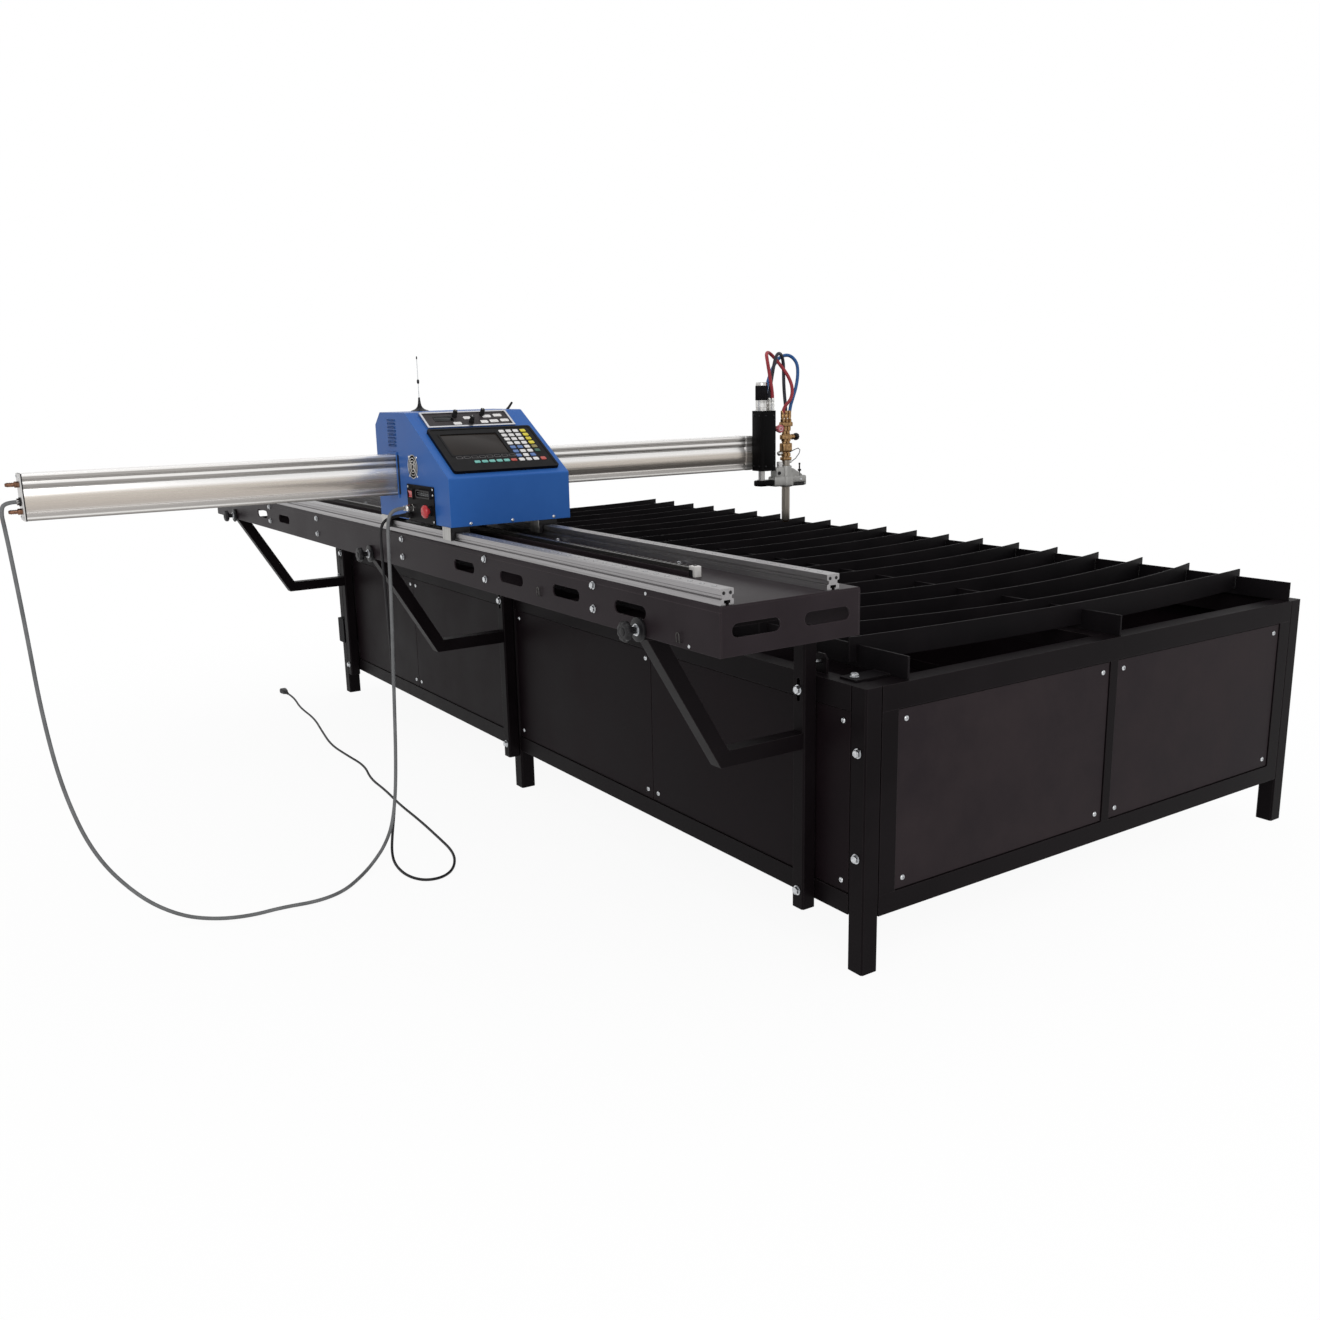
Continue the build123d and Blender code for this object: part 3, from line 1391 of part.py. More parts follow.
def valve_seats():
    """Boss end, direction, boss length and knob radius of the fuel valve and of the oxygen valve."""
    depth, width, height = valve_column
    fuel = Vector(lift_x + fuel_arm_depth / 2 + fuel_boss_length,
                  torch_y - width / 2 - fuel_arm_length + fuel_arm_inset, torch_top + fuel_valve_rise)
    oxygen = Vector(lift_x, torch_y + width / 2 + oxygen_boss_length, torch_top + oxygen_valve_rise)
    return ((fuel, Vector(1, 0, 0), fuel_boss_length, fuel_knob_radius),
            (oxygen, Vector(0, 1, 0), oxygen_boss_length, oxygen_knob_radius))


def valve_knob(index):
    """Fluted valve knob with its stem in the boss."""
    seat, out, length, radius = valve_seats()[index]
    near = seat + out * valve_gap
    knob = rod(near, near + out * valve_knob_thickness, radius, valve_knob_flutes)
    stem = rod(seat - out * (valve_stem_length - shaft_end_gap), near, valve_stem_radius, small_sides)
    return [knob + stem]


def cord(name, points, diameter):
    """Flat-sided tube along straight runs joined by the largest tangent arcs, each in a few flat steps."""
    corners = [Vector(*point) for point in points]
    radii, turns = [], []
    for before, corner, after in zip(corners, corners[1:], corners[2:]):
        turns.append((corner - before).get_angle(after - corner))
        shorter = min((corner - before).length, (after - corner).length)
        radii.append(arc_share * shorter / math.tan(math.radians(turns[-1] / 2)))
    smooth = FilletPolyline(*corners, radius=radii)
    stops = [corners[0]]
    for index, edge in enumerate(smooth.edges()):
        steps = math.ceil(turns[index // 2] / bend_step) if index % 2 else 1
        stops += [edge @ (step / steps) for step in range(1, steps + 1)]
    path = Polyline(*stops)
    section = RegularPolygon(diameter / 2, cord_sides)
    section = Plane(origin=corners[0], z_dir=corners[1] - corners[0]) * section
    tube_solid = sweep(section, path=path, transition=Transition.RIGHT)
    share = tube_solid.volume / (path.length * section.area)
    print(f"{name}: length {smooth.length:.0f}, smallest radius {min(radii):.0f}, volume share {share:.4f}")
    print("  radii", " ".join(f"{radius:.0f}" for radius in radii))
    return [tube_solid]


def mains_plug():
    """Two-pin plug at the mains cord's end, lying on the floor."""
    x, y, z = mains_route[-1]
    body = block((x - plug_size[0], x), (y - plug_size[1] / 2, y + plug_size[1] / 2),
                 (z - plug_size[2] / 2, z + plug_size[2] / 2))
    body = chamfer(body.edges().filter_by(Axis.X), plug_corner)
    for side in (-pin_spacing / 2, pin_spacing / 2):
        body += rod((x - plug_size[0], y + side, z), (x - plug_size[0] - pin_length, y + side, z),
                    pin_radius, small_sides)
    return [body]


def assembly():
    """Every piece by its name, as a list of solids."""
    pieces = {
        "legs": legs(), "frame_rails": frame_rails() + tie_lugs(), "bed_bearers": bed_bearers(),
        "side_panels": side_panels(), "end_panels": end_panels(), "panel_ledges": panel_ledges(),
        "panel_screws": panel_screws(), "slag_sheets": slag_sheets(), "slats": slats(),
        "slat_supports": slat_supports(), "struts": struts(), "strut_bolts": strut_bolts(),
        "support_arms": support_arms(), "side_box": side_box_on_panel(),
        "rail_base": rail_base(), "guide_rails": guide_rails(), "rack": rack(),
        "base_hardware": base_hardware(),
        "carriage_casing": carriage_casing(), "beam_collars": beam_collars(), "chassis": chassis(),
        "rail_sliders": rail_sliders(), "drive_motors": drive_motors(), "x_pinion": x_pinion(),
        "y_pinion": y_pinion(), "thc_panel": thc_panel(), "controller": controller(), "screen": screen(),
        "keypad": keypad(), "connector_plate": connector_plate(), "sockets": sockets(),
        "power_rocker": power_rocker(), "stop_button": stop_button(), "fan_guard": fan_guard(),
        "fan_rotor": fan_rotor(), "aerials": aerials(),
        "beam": beam(), "beam_rack": beam_rack(), "beam_end_plate": beam_end_plate(),
        "gas_nipples": gas_nipples(), "lifter_body": lifter_body(), "lifter_motor": lifter_motor(),
        "lift_post": lift_post(), "torch_clamp": torch_clamp(), "torch": torch(),
        "torch_valves": torch_valves(), "fuel_valve_knob": valve_knob(0), "oxygen_valve_knob": valve_knob(1),
        "grey_cable": cord("grey_cable", grey_route, grey_diameter),
        "mains_cord": cord("mains_cord", mains_route, mains_diameter), "mains_plug": mains_plug(),
    }
    for name, station in zip(("knob_near", "knob_mid", "knob_far"), strut_stations):
        pieces[name] = arm_knob(station)
    for name, place in zip(("dial_left", "dial_mid", "dial_right"), dial_places):
        pieces[name] = dial(place)
    for name, points in hose_routes.items():
        pieces[name] = cord(name, points, hose_diameter)
    return pieces


os.makedirs("parts", exist_ok=True)
to_origin = Pos(0, -footprint_mid, 0)
for node, solids in assembly().items():
    placed = [to_origin * solid for solid in solids]
    shape = placed[0] if len(placed) == 1 else Compound(placed)
    export_step(shape, f"parts/{node}.step")
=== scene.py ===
import math

import bmesh
import bpy
from mathutils import Matrix, Vector


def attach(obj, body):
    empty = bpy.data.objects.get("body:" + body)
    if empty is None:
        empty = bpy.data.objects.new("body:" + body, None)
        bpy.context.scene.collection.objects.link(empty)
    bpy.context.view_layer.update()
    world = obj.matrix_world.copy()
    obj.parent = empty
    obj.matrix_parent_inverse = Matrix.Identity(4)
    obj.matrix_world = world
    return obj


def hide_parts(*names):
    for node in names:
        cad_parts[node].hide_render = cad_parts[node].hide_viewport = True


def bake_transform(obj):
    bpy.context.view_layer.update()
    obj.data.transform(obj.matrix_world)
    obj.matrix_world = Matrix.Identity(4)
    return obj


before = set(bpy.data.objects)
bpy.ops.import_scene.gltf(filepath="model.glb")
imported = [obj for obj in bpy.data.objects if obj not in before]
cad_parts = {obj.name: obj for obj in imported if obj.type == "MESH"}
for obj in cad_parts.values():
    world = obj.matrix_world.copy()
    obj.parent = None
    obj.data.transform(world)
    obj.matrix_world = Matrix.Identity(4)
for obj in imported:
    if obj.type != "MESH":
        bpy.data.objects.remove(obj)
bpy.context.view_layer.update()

# Camera
# A standing person's view of the near left corner, from a little above the console and through a
# moderately wide lens.
camera = bpy.data.objects.new("camera", bpy.data.cameras.new("camera"))
camera.data.sensor_width = 36.0
camera.data.lens = 33.2
camera.matrix_world = Matrix((
    (0.55809, -0.17412, 0.81131, 3.6026),
    (0.82954, 0.14071, -0.54043, -1.9482),
    (-0.02006, 0.97462, 0.22297, 1.3515),
    (0.0, 0.0, 0.0, 1.0)))
bpy.context.collection.objects.link(camera)
bpy.context.scene.camera = camera
bpy.context.scene.view_settings.view_transform = "Standard"


# Studio
# A white paper sweep under a pale sky that greys towards its top, so that metal has something to reflect.
# A large soft lamp hangs above and in front of the near end, and a weaker one overhead.
def paint(code):
    """Linear colour of an sRGB hex value."""
    parts = [int(code[i:i + 2], 16) / 255 for i in (1, 3, 5)]
    return (*[c / 12.92 if c <= 0.04045 else ((c + 0.055) / 1.055) ** 2.4 for c in parts], 1.0)


def connect(node, inputs):
    """Gives each named input of a node a value, or a link from an output or from another node's first output."""
    for socket, value in inputs.items():
        if isinstance(value, bpy.types.Node):
            value = next(output for output in value.outputs if output.enabled)
        if isinstance(value, bpy.types.NodeSocket):
            node.id_data.links.new(value, node.inputs[socket])
        else:
            node.inputs[socket].default_value = value


def add(owner, kind, inputs=None, **settings):
    """New node in a material or the world, with its settings and its inputs."""
    node = owner.node_tree.nodes.new("ShaderNode" + kind)
    for name, value in settings.items():
        setattr(node, name, value)
    connect(node, inputs or {})
    return node


def shown(owner):
    """1 on rays that show a thing, straight on, in a reflection or through glass, and 0 on rays that light it."""
    rays = add(owner, "LightPath").outputs
    either = add(owner, "Math", {0: rays["Is Camera Ray"], 1: rays["Is Glossy Ray"]}, operation="MAXIMUM")
    return add(owner, "Math", {0: either, 1: rays["Is Transmission Ray"]}, operation="MAXIMUM")


studio_white, ceiling_grey, fill_level = paint("#FFFFFF"), paint("#A8A9AB"), 0.66
world = bpy.data.worlds.new("studio")
bpy.context.scene.world = world
world.use_nodes = True
world.node_tree.nodes.clear()
height = add(world, "SeparateXYZ", {0: add(world, "TexCoord").outputs["Generated"]})
above = add(world, "MapRange", {"Value": height.outputs["Z"], "From Min": 0.3, "From Max": 0.85},
            interpolation_type="SMOOTHSTEP")
sky = add(world, "Mix", {0: above, 6: studio_white, 7: ceiling_grey}, data_type="RGBA")
backdrop = add(world, "Background", {"Color": sky, "Strength": 1.0})
fill = add(world, "Background", {"Color": studio_white, "Strength": fill_level})
both = add(world, "MixShader", {0: shown(world), 1: fill, 2: backdrop})
add(world, "OutputWorld", {"Surface": both})

floor_half, floor_drop = 30.0, 0.0005
floor_mesh = bpy.data.meshes.new("studio_floor")
floor_mesh.from_pydata(
    [(x * floor_half, y * floor_half, -floor_drop) for x, y in ((-1, -1), (1, -1), (1, 1), (-1, 1))],
    [], [(0, 1, 2, 3)])
floor = bpy.data.objects.new("studio_floor", floor_mesh)
bpy.context.collection.objects.link(floor)

# Matt white paper: the shadow under the machine stays, and it runs out to plain white with distance.
sweep_paper = bpy.data.materials.new("matt_white_paper")
sweep_paper.use_nodes = True
sweep_paper.node_tree.nodes.clear()
reach = add(sweep_paper, "VectorMath", {0: add(sweep_paper, "TexCoord").outputs["Object"]}, operation="LENGTH")
away = add(sweep_paper, "MapRange", {"Value": reach.outputs["Value"], "From Min": 1.0, "From Max": 3.6,
                                     "To Min": 0.93, "To Max": 1.0}, interpolation_type="SMOOTHSTEP")
bright = add(sweep_paper, "Math", {0: away, 1: shown(sweep_paper)}, operation="MULTIPLY")
paper = add(sweep_paper, "BsdfDiffuse", {"Color": paint("#F2F2F2")})
glow = add(sweep_paper, "Emission", {"Color": studio_white, "Strength": 1.0})
lit = add(sweep_paper, "MixShader", {0: bright, 1: paper, 2: glow})
add(sweep_paper, "OutputMaterial", {"Surface": lit})
floor_mesh.materials.append(sweep_paper)

for name, place, target, size, power in (
        ("key_lamp", (5.2, -2.4, 3.6), (0.4, -0.2, 0.7), 4.0, 95.0),
        ("top_lamp", (-0.4, 0.6, 5.2), (-0.4, 0.6, 0.0), 5.0, 62.0)):
    lamp = bpy.data.objects.new(name, bpy.data.lights.new(name, "AREA"))
    lamp.data.shape = "DISK"
    lamp.data.size = size
    lamp.data.energy = power
    lamp.location = place
    lamp.rotation_euler = (Vector(target) - Vector(place)).to_track_quat("-Z", "Y").to_euler()
    bpy.context.collection.objects.link(lamp)

# Table frame
# Square steel tubes welded into legs, rails, posts and bearers, with flat ledges and slag sheets inside.
# The whole frame is powder coated black after welding.
mm = 0.001
table_face, table_middle = -142.5, (0.0, 872.5)


def at(x, y, z):
    """Place in metres of a point in millimetres from the table's middle, its rail side and the floor."""
    return Vector((x * mm, (y + table_face) * mm, z * mm))


def finish(name, colour, roughness, metallic=0.0, specular=0.5):
    """New material with its principled shader, and the place in metres on the piece for its patterns."""
    material = bpy.data.materials.new(name)
    material.use_nodes = True
    shader = material.node_tree.nodes["Principled BSDF"]
    connect(shader, {"Base Color": paint(colour), "Roughness": roughness, "Metallic": metallic,
                     "Specular IOR Level": specular})
    return material, shader, add(material, "TexCoord").outputs["Object"]


def vary(material, shader, pattern, low, high, colour, other, gloss=None):
    """Lets a pattern carry a finish from one colour to another and, if given, between two roughnesses."""
    share = add(material, "MapRange", {"Value": pattern, "From Min": low, "From Max": high})
    tone = add(material, "Mix", {0: share, 6: paint(colour), 7: paint(other)}, data_type="RGBA")
    connect(shader, {"Base Color": tone})
    if gloss:
        connect(shader, {"Roughness": add(material, "MapRange", {
            "Value": pattern, "From Min": 0.3, "From Max": 0.7, "To Min": gloss[0], "To Max": gloss[1]})})
    return tone


# Powder coat: a satin skin with a faint orange peel and cloudy from handling; a paler colour mixed in along every
# edge is a painted highlight.
# The real peel is about 1 mm, drawn here at 5 mm so that it shows.
def powder_coat(name, colour, cloudy, edge, gloss=(0.34, 0.5), specular=0.04):
    material, shader, where = finish(name, colour, gloss[0], specular=specular)
    cloud_size, peel_size, peel_depth, edge_radius = 260 * mm, 5 * mm, 0.3 * mm, 2.2 * mm
    cloud = add(material, "TexNoise", {"Vector": where, "Scale": 1 / cloud_size, "Detail": 6.0, "Roughness": 0.6})
    tone = vary(material, shader, cloud, 0.38, 0.68, colour, cloudy, gloss)
    eased = add(material, "Bevel", {"Radius": edge_radius}, samples=4)
    face = add(material, "NewGeometry").outputs["Normal"]
    turn = add(material, "VectorMath", {0: eased, 1: face}, operation="DOT_PRODUCT").outputs["Value"]
    # Painted highlight: the share of the paler edge colour grows where the bevelled normal turns away from the face.
    paler_tone = add(material, "MapRange", {"Value": turn, "From Min": 0.99, "From Max": 0.8, "To Max": 0.8})
    peel = add(material, "TexNoise", {"Vector": where, "Scale": 1 / peel_size, "Detail": 2.0})
    connect(shader, {
        "Base Color": add(material, "Mix", {0: paler_tone, 6: tone, 7: paint(edge)}, data_type="RGBA"),
        "Normal": add(material, "Bump", {"Height": peel, "Strength": 0.25, "Distance": peel_depth, "Normal": eased})})
    return material


def coat(material, *names):
    """Gives a finish to CAD pieces whose own shape is right."""
    for name in names:
        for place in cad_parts[name].material_slots:
            place.material = material


frame_coat = powder_coat("black_powder_coat", "#100C0E", "#171315", "#3C3638")
coat(frame_coat, "legs", "frame_rails", "bed_bearers", "panel_ledges", "slag_sheets")

# Panels
# Folded sheet panels screwed to ledges in the frame's openings, coated black with a warmer cast than the tubes.
# The end panels, which face the light, get a paler copy of the same coat: painted light on the lit side.
coat(powder_coat("black_panel_coat", "#140E11", "#1B1417", "#40383A", gloss=(0.38, 0.52)), "side_panels")
coat(powder_coat("black_end_panel_coat_painted_lit", "#272124", "#30292B", "#463F40", gloss=(0.38, 0.52)), "end_panels")


# Panel screws
# Button-headed screws of zinc-plated steel with a hexagon socket in their low domes, driven through the corners
# of every panel into the ledges.
def solids_of(name):
    """Low and high corners, in millimetres as in at(), of each separate solid of a CAD piece."""
    mesh = bmesh.new()
    mesh.from_mesh(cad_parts[name].data)
    bmesh.ops.remove_doubles(mesh, verts=mesh.verts, dist=0.01 * mm)
    left, boxes = set(mesh.verts), []
    while left:
        group, edge = [], [left.pop()]
        while edge:
            vertex = edge.pop()
            group.append(vertex.co / mm - Vector((0, table_face, 0)))
            for neighbour in (link.other_vert(vertex) for link in vertex.link_edges):
                if neighbour in left:
                    left.remove(neighbour)
                    edge.append(neighbour)
        boxes.append([Vector(pick(co[i] for co in group) for i in range(3)) for pick in (min, max)])
    mesh.free()
    return sorted(boxes, key=lambda box: tuple(round(value, 1) for value in box[0]))


def skin(mesh, rings, capped=True):
    """Adds the faces between closed rings of corners, and a cap on each end."""
    for low, high in zip(rings, rings[1:]):
        for step in range(max(len(low), len(high))):
            places = ((low, step), (low, step + 1), (high, step + 1), (high, step))
            corners = list(dict.fromkeys(ring[turn % len(ring)] for ring, turn in places))
            if len(corners) > 2:
                mesh.faces.new(corners)
    for cap in (rings[0][::-1], rings[-1]):
        if capped and len(cap) > 1:
            mesh.faces.new(cap)


def turned(mesh, profile, foot, axis, sides=24, lobes=0, depth=0.0, capped=True):
    """Adds a turned form up an axis: rings of (radius, height), or (half width, height, corners) for a polygon."""
    foot, up = Vector(foot), Vector(axis).normalized()
    lean = up.to_track_quat("Z", "Y").to_matrix()
    rings = []
    for radius, rise, *corners in profile:
        ring = []
        for angle in (2 * math.pi * step / sides for step in range(sides if radius else 1)):
            out = radius - depth * (0.5 - 0.5 * math.cos(lobes * angle)) if radius else 0.0
            if corners:
                half = math.pi / corners[0]
                out = radius / math.cos((angle + half) % (2 * half) - half)
            ring.append(mesh.verts.new(foot + lean @ Vector((out * math.cos(angle), out * math.sin(angle), rise))))
        rings.append(ring)
    skin(mesh, rings, capped)


def build(name, mesh, material, body, nodes=(), crease=32):
    """Makes a piece of a mesh in millimetres: smooth but for its creases, riding on a body."""
    bmesh.ops.recalc_face_normals(mesh, faces=mesh.faces)
    for vertex in mesh.verts:
        vertex.co = at(*vertex.co)
    data = bpy.data.meshes.new(name)
    mesh.to_mesh(data)
    mesh.free()
    for face in data.polygons:
        face.use_smooth = True
    data.set_sharp_from_angle(angle=math.radians(crease))
    data.materials.append(material)
    piece = bpy.data.objects.new(name, data)
    bpy.context.collection.objects.link(piece)
    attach(piece, body)
    if nodes:
        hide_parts(*nodes)
    return piece


# Bright metal: a soft sheen, with the faint cloudiness of a plating bath or of handling.
def bright_metal(name, colour, dull, roughness, cloud_size):
    material, shader, where = finish(name, colour, roughness, metallic=1.0)
    cloud = add(material, "TexNoise", {"Vector": where, "Scale": 1 / (cloud_size * mm), "Detail": 4.0})
    vary(material, shader, cloud, 0.35, 0.7, colour, dull, (roughness, roughness + 0.12))
    return material


# Zinc plate: a pale, slightly blue silver with small dull clouds.
zinc = bright_metal("zinc_plated_steel", "#D4D6D8", "#A9ABAE", 0.22, 9.0)
screw_profile = ((7.0, 0.0), (7.0, 0.5), (6.5, 1.3), (5.6, 2.1), (4.4, 2.7), (3.2, 3.0), (2.7, 2.95),
                 (2.3, 2.8, 6), (2.3, 1.2, 6), (0.0, 1.0))
screws = bmesh.new()
for low, high in solids_of("panel_screws"):
    middle, span, outward = (low + high) / 2, high - low, Vector((0, 0, 0))
    axis = 0 if span.x < span.y else 1
    outward[axis] = 1.0 if middle[axis] > table_middle[axis] else -1.0
    turned(screws, screw_profile, middle - outward * min(span) / 2, outward)
build("panel_screws_domed", screws, zinc, "table", ["panel_screws"])


# Cover strips
# Narrow strips of sheet behind the upright edges of every panel, and over the long joint between the slag
# sheets, coated with the frame and riveted on, so that no light comes through the joints.
def join(mesh, part, where=None):
    """Moves a part mesh into place and adds it to a mesh."""
    if where:
        part.transform(where)
    loose = bpy.data.meshes.new("loose")
    part.to_mesh(loose)
    part.free()
    mesh.from_mesh(loose)
    bpy.data.meshes.remove(loose)


def slab(mesh, low, high, ease=0.0, where=None):
    """Adds a block between two corners, its edges eased."""
    part = bmesh.new()
    bmesh.ops.create_cube(part, size=1.0)
    for vertex in part.verts:
        vertex.co = [a + (c + 0.5) * (b - a) for a, b, c in zip(low, high, vertex.co)]
    if ease:
        bmesh.ops.bevel(part, geom=part.edges[:], offset=ease, segments=3, affect="EDGES", profile=0.5)
    join(mesh, part, where)


strip_lap, strip_sheet, strip_reach, strip_ease, ledge_room = 12.0, 1.5, 2.8, 0.3, 40.0
strips = bmesh.new()
for low, high in solids_of("side_panels") + solids_of("end_panels"):
    across = 0 if high.x - low.x > high.y - low.y else 1
    depth = 1 - across
    inward = 1 if low[depth] < table_middle[depth] else -1
    back = high[depth] if inward > 0 else low[depth]
    for edge, side in ((low[across], 1), (high[across], -1)):
        first, last = [0, 0, low.z + ledge_room], [0, 0, high.z - ledge_room]
        first[across], last[across] = sorted((edge - side * strip_reach, edge + side * strip_lap))
        first[depth], last[depth] = sorted((back, back + inward * strip_sheet))
        slab(strips, first, last, strip_ease)
slag = solids_of("slag_sheets")
joint = (max(high.y for low, high in slag if high.y < table_middle[1]) - strip_lap,
         min(low.y for low, high in slag if low.y > table_middle[1]) + strip_lap)
for low, high in slag:
    if low.y > table_middle[1]:
        slab(strips, (low.x, joint[0], high.z), (high.x, joint[1], high.z + strip_sheet), strip_ease)
build("panel_cover_strips", strips, frame_coat, "table")

# Slat bed
# Bowed flat bars of plain steel on edge, sprung into the notches of three bars and lying there loose.
# Bars and slats are painted black.
# Brushed paint: flatter than the frame's coat, with hardly any shine.
slat_coat = powder_coat("black_slat_paint", "#100E10", "#181517", "#302B2D", gloss=(0.5, 0.62), specular=0.06)
slat_half, slat_steps = 2.0, 28
slats = bmesh.new()
for low, high in solids_of("slats"):
    half_span = (high.y - low.y) / 2
    bow = high.x - low.x - 2 * slat_half
    radius = (half_span ** 2 + bow ** 2) / (2 * bow)
    rows = []
    for step in range(slat_steps + 1):
        across = half_span * (2 * step / slat_steps - 1)
        x = high.x - slat_half - radius + math.sqrt(radius ** 2 - across ** 2)
        y = low.y + half_span + across
        rows.append([slats.verts.new((x + side * slat_half, y, z)) for side, z in (
            (1, low.z), (1, high.z), (-1, high.z), (-1, low.z))])
    skin(slats, rows)
build("bowed_slats", slats, slat_coat, "table", ["slats"])
coat(slat_coat, "slat_supports")

# Struts and arms
# Square tubes bolted to the table's side, with cranked arms that carry the rail base on flat bearers, coated
# with the frame. A small moulded junction box hangs on the far strut.
coat(frame_coat, "struts", "support_arms")
# Moulded box: an even dull black.
coat(powder_coat("black_junction_box", "#131214", "#1A191B", "#2E2C2F", gloss=(0.45, 0.55)), "side_box")


# Strut bolts
# Hexagon bolts on plain washers, the studs from the struts to the table's lugs, and a bolt down through
# each corner foot of the notched bars, all zinc plated.
def hex_bolt(mesh, face, outward, width, height, washer_radius, washer):
    """Adds a washer and a chamfered hexagon head, seated on a face."""
    half, top = width / 2, washer + height
    turned(mesh, ((washer_radius - 0.4, 0.0), (washer_radius, 0.4), (washer_radius, washer - 0.4),
                  (washer_radius - 0.4, washer), (width * 0.4, washer)), face, outward)
    turned(mesh, ((half, washer, 6), (half, washer + height * 0.78, 6), (half, washer + height * 0.92),
                  (half * 0.86, top), (half * 0.8, top), (half * 0.76, top - 0.4), (0.0, top - 0.4)), face, outward)


strut_bolt, longest_head = (17.0, 7.0, 12.0, 2.0), 20.0
bolts = bmesh.new()
for low, high in solids_of("strut_bolts"):
    middle, length = (low + high) / 2, high.y - low.y
    if length > longest_head:
        turned(bolts, ((4.6, 0.0), (5.0, 0.6), (5.0, length - 0.6), (4.6, length)),
               (middle.x, low.y, middle.z), (0, 1, 0))
        continue
    outward = 1 if middle.y > table_middle[1] else -1
    hex_bolt(bolts, (middle.x, low.y if outward > 0 else high.y, middle.z), (0, outward, 0), *strut_bolt)
foot_bolt_x, foot_bolt_y, foot_plate = 1616.0, (47.0, 1698.0), 690.0
for x in (-foot_bolt_x, foot_bolt_x):
    for y in foot_bolt_y:
        hex_bolt(bolts, (x, y, foot_plate), (0, 0, 1), *strut_bolt)
build("strut_bolts_hexagon", bolts, zinc, "table", ["strut_bolts"])


# Rail base
# A long cover folded from steel sheet round its top edges, with oblong slots punched in its sides and ends
# and round holes for the clamping knobs, coated black.
def trace(curve, points, closed):
    """Adds a straight-edged line through points to a curve."""
    run = curve.splines.new("POLY")
    run.points.add(len(points) - 1)
    for point, place in zip(run.points, points):
        point.co = (*Vector(place).to_3d(), 1)
    run.use_cyclic_u = closed


def settle(mesh, curve, where=None):
    """Adds the solid form of a curve to a mesh."""
    carrier = bpy.data.objects.new("carrier", curve)
    part = bmesh.new()
    part.from_mesh(bpy.data.meshes.new_from_object(carrier))
    bpy.data.objects.remove(carrier)
    bmesh.ops.remove_doubles(part, verts=part.verts, dist=0.01)
    join(mesh, part, where)


def sheet(mesh, outlines, thickness, where):
    """Adds a flat plate with holes: closed outlines in its own plane, filled between, with a thickness."""
    flat = bpy.data.curves.new("sheet", "CURVE")
    flat.dimensions = "2D"
    flat.fill_mode = "BOTH"
    flat.extrude = thickness / 2
    for points in outlines:
        trace(flat, points, True)
    settle(mesh, flat, where)


def oblong(middle, length, width, steps=8):
    """Outline of a slot with round ends."""
    points = []
    for side, start in ((1, -0.5), (-1, 0.5)):
        for angle in (math.pi * (start + step / steps) for step in range(steps + 1)):
            points.append((middle[0] + side * (length - width) / 2 + width / 2 * math.cos(angle),
                           middle[1] + width / 2 * math.sin(angle)))
    return points


def upright(origin, across):
    """Matrix of an upright plane through a point: its first axis along a direction, its second up."""
    across, up = Vector(across), Vector((0, 0, 1))
    return Matrix.Translation(origin) @ Matrix((across, up, across.cross(up))).transposed().to_4x4()


base_low, base_high = solids_of("rail_base")[0]
base_sheet, base_bend, base_fold, bend_steps = 4.0, 6.0, 12.0, 6
slot_stations = (1484.0, 1214.0, 944.0, 674.0, -866.0, -1136.0)
slot_size, end_slot_size, end_slot_offset = (124.0, 28.0), (119.0, 28.0), 90.0
clamp_stations, clamp_rise, clamp_hole = (1522.0, 0.0, -1522.0), 14.0, 10.8
base_cover = bmesh.new()
slot_z, side_top, end_top = (base_low.z + base_high.z) / 2, base_high.z - base_fold, base_high.z - base_sheet
for face_y, drilled in ((base_low.y + base_sheet / 2, True), (base_high.y - base_sheet / 2, False)):
    outlines = [[(base_low.x, base_low.z), (base_high.x, base_low.z), (base_high.x, side_top),
                 (base_low.x, side_top)]]
    outlines += [oblong((station, slot_z), *slot_size) for station in slot_stations]
    if drilled:
        outlines += [oblong((x, base_low.z + clamp_rise), clamp_hole, clamp_hole) for x in clamp_stations]
    sheet(base_cover, outlines, base_sheet, upright((0, face_y, 0), (1, 0, 0)))
inner = (base_low.y + base_sheet, base_high.y - base_sheet)
for face_x in (base_low.x + base_sheet / 2, base_high.x - base_sheet / 2):
    outlines = [[(inner[0], base_low.z), (inner[1], base_low.z), (inner[1], end_top), (inner[0], end_top)]]
    outlines += [oblong((sum(inner) / 2 + side * end_slot_offset, slot_z), *end_slot_size) for side in (-1, 1)]
    sheet(base_cover, outlines, base_sheet, upright((face_x, 0, 0), (0, 1, 0)))
fold = []
for side, edge_y in ((-1, base_low.y), (1, base_high.y)):
    turn = [(edge_y, side_top)]
    for angle in (math.pi / 2 * step / bend_steps for step in range(bend_steps + 1)):
        turn.append((edge_y - side * base_bend * (1 - math.cos(angle)),
                     base_high.z - base_bend * (1 - math.sin(angle))))
    fold += turn if side < 0 else turn[::-1]
fold += [(inner[1], side_top), (inner[1], end_top), (inner[0], end_top), (inner[0], side_top)]
skin(base_cover, [[base_cover.verts.new((x, y, z)) for y, z in fold] for x in (base_low.x, base_high.x)])
# A thinner powder coat: greyer than the frame's, with a clearer sheen on its flat top.
base_coat = powder_coat("black_base_coat", "#231D20", "#2C2629", "#4C4447", gloss=(0.32, 0.44), specular=0.05)
build("rail_base_cover", base_cover, base_coat, "table", ["rail_base"])


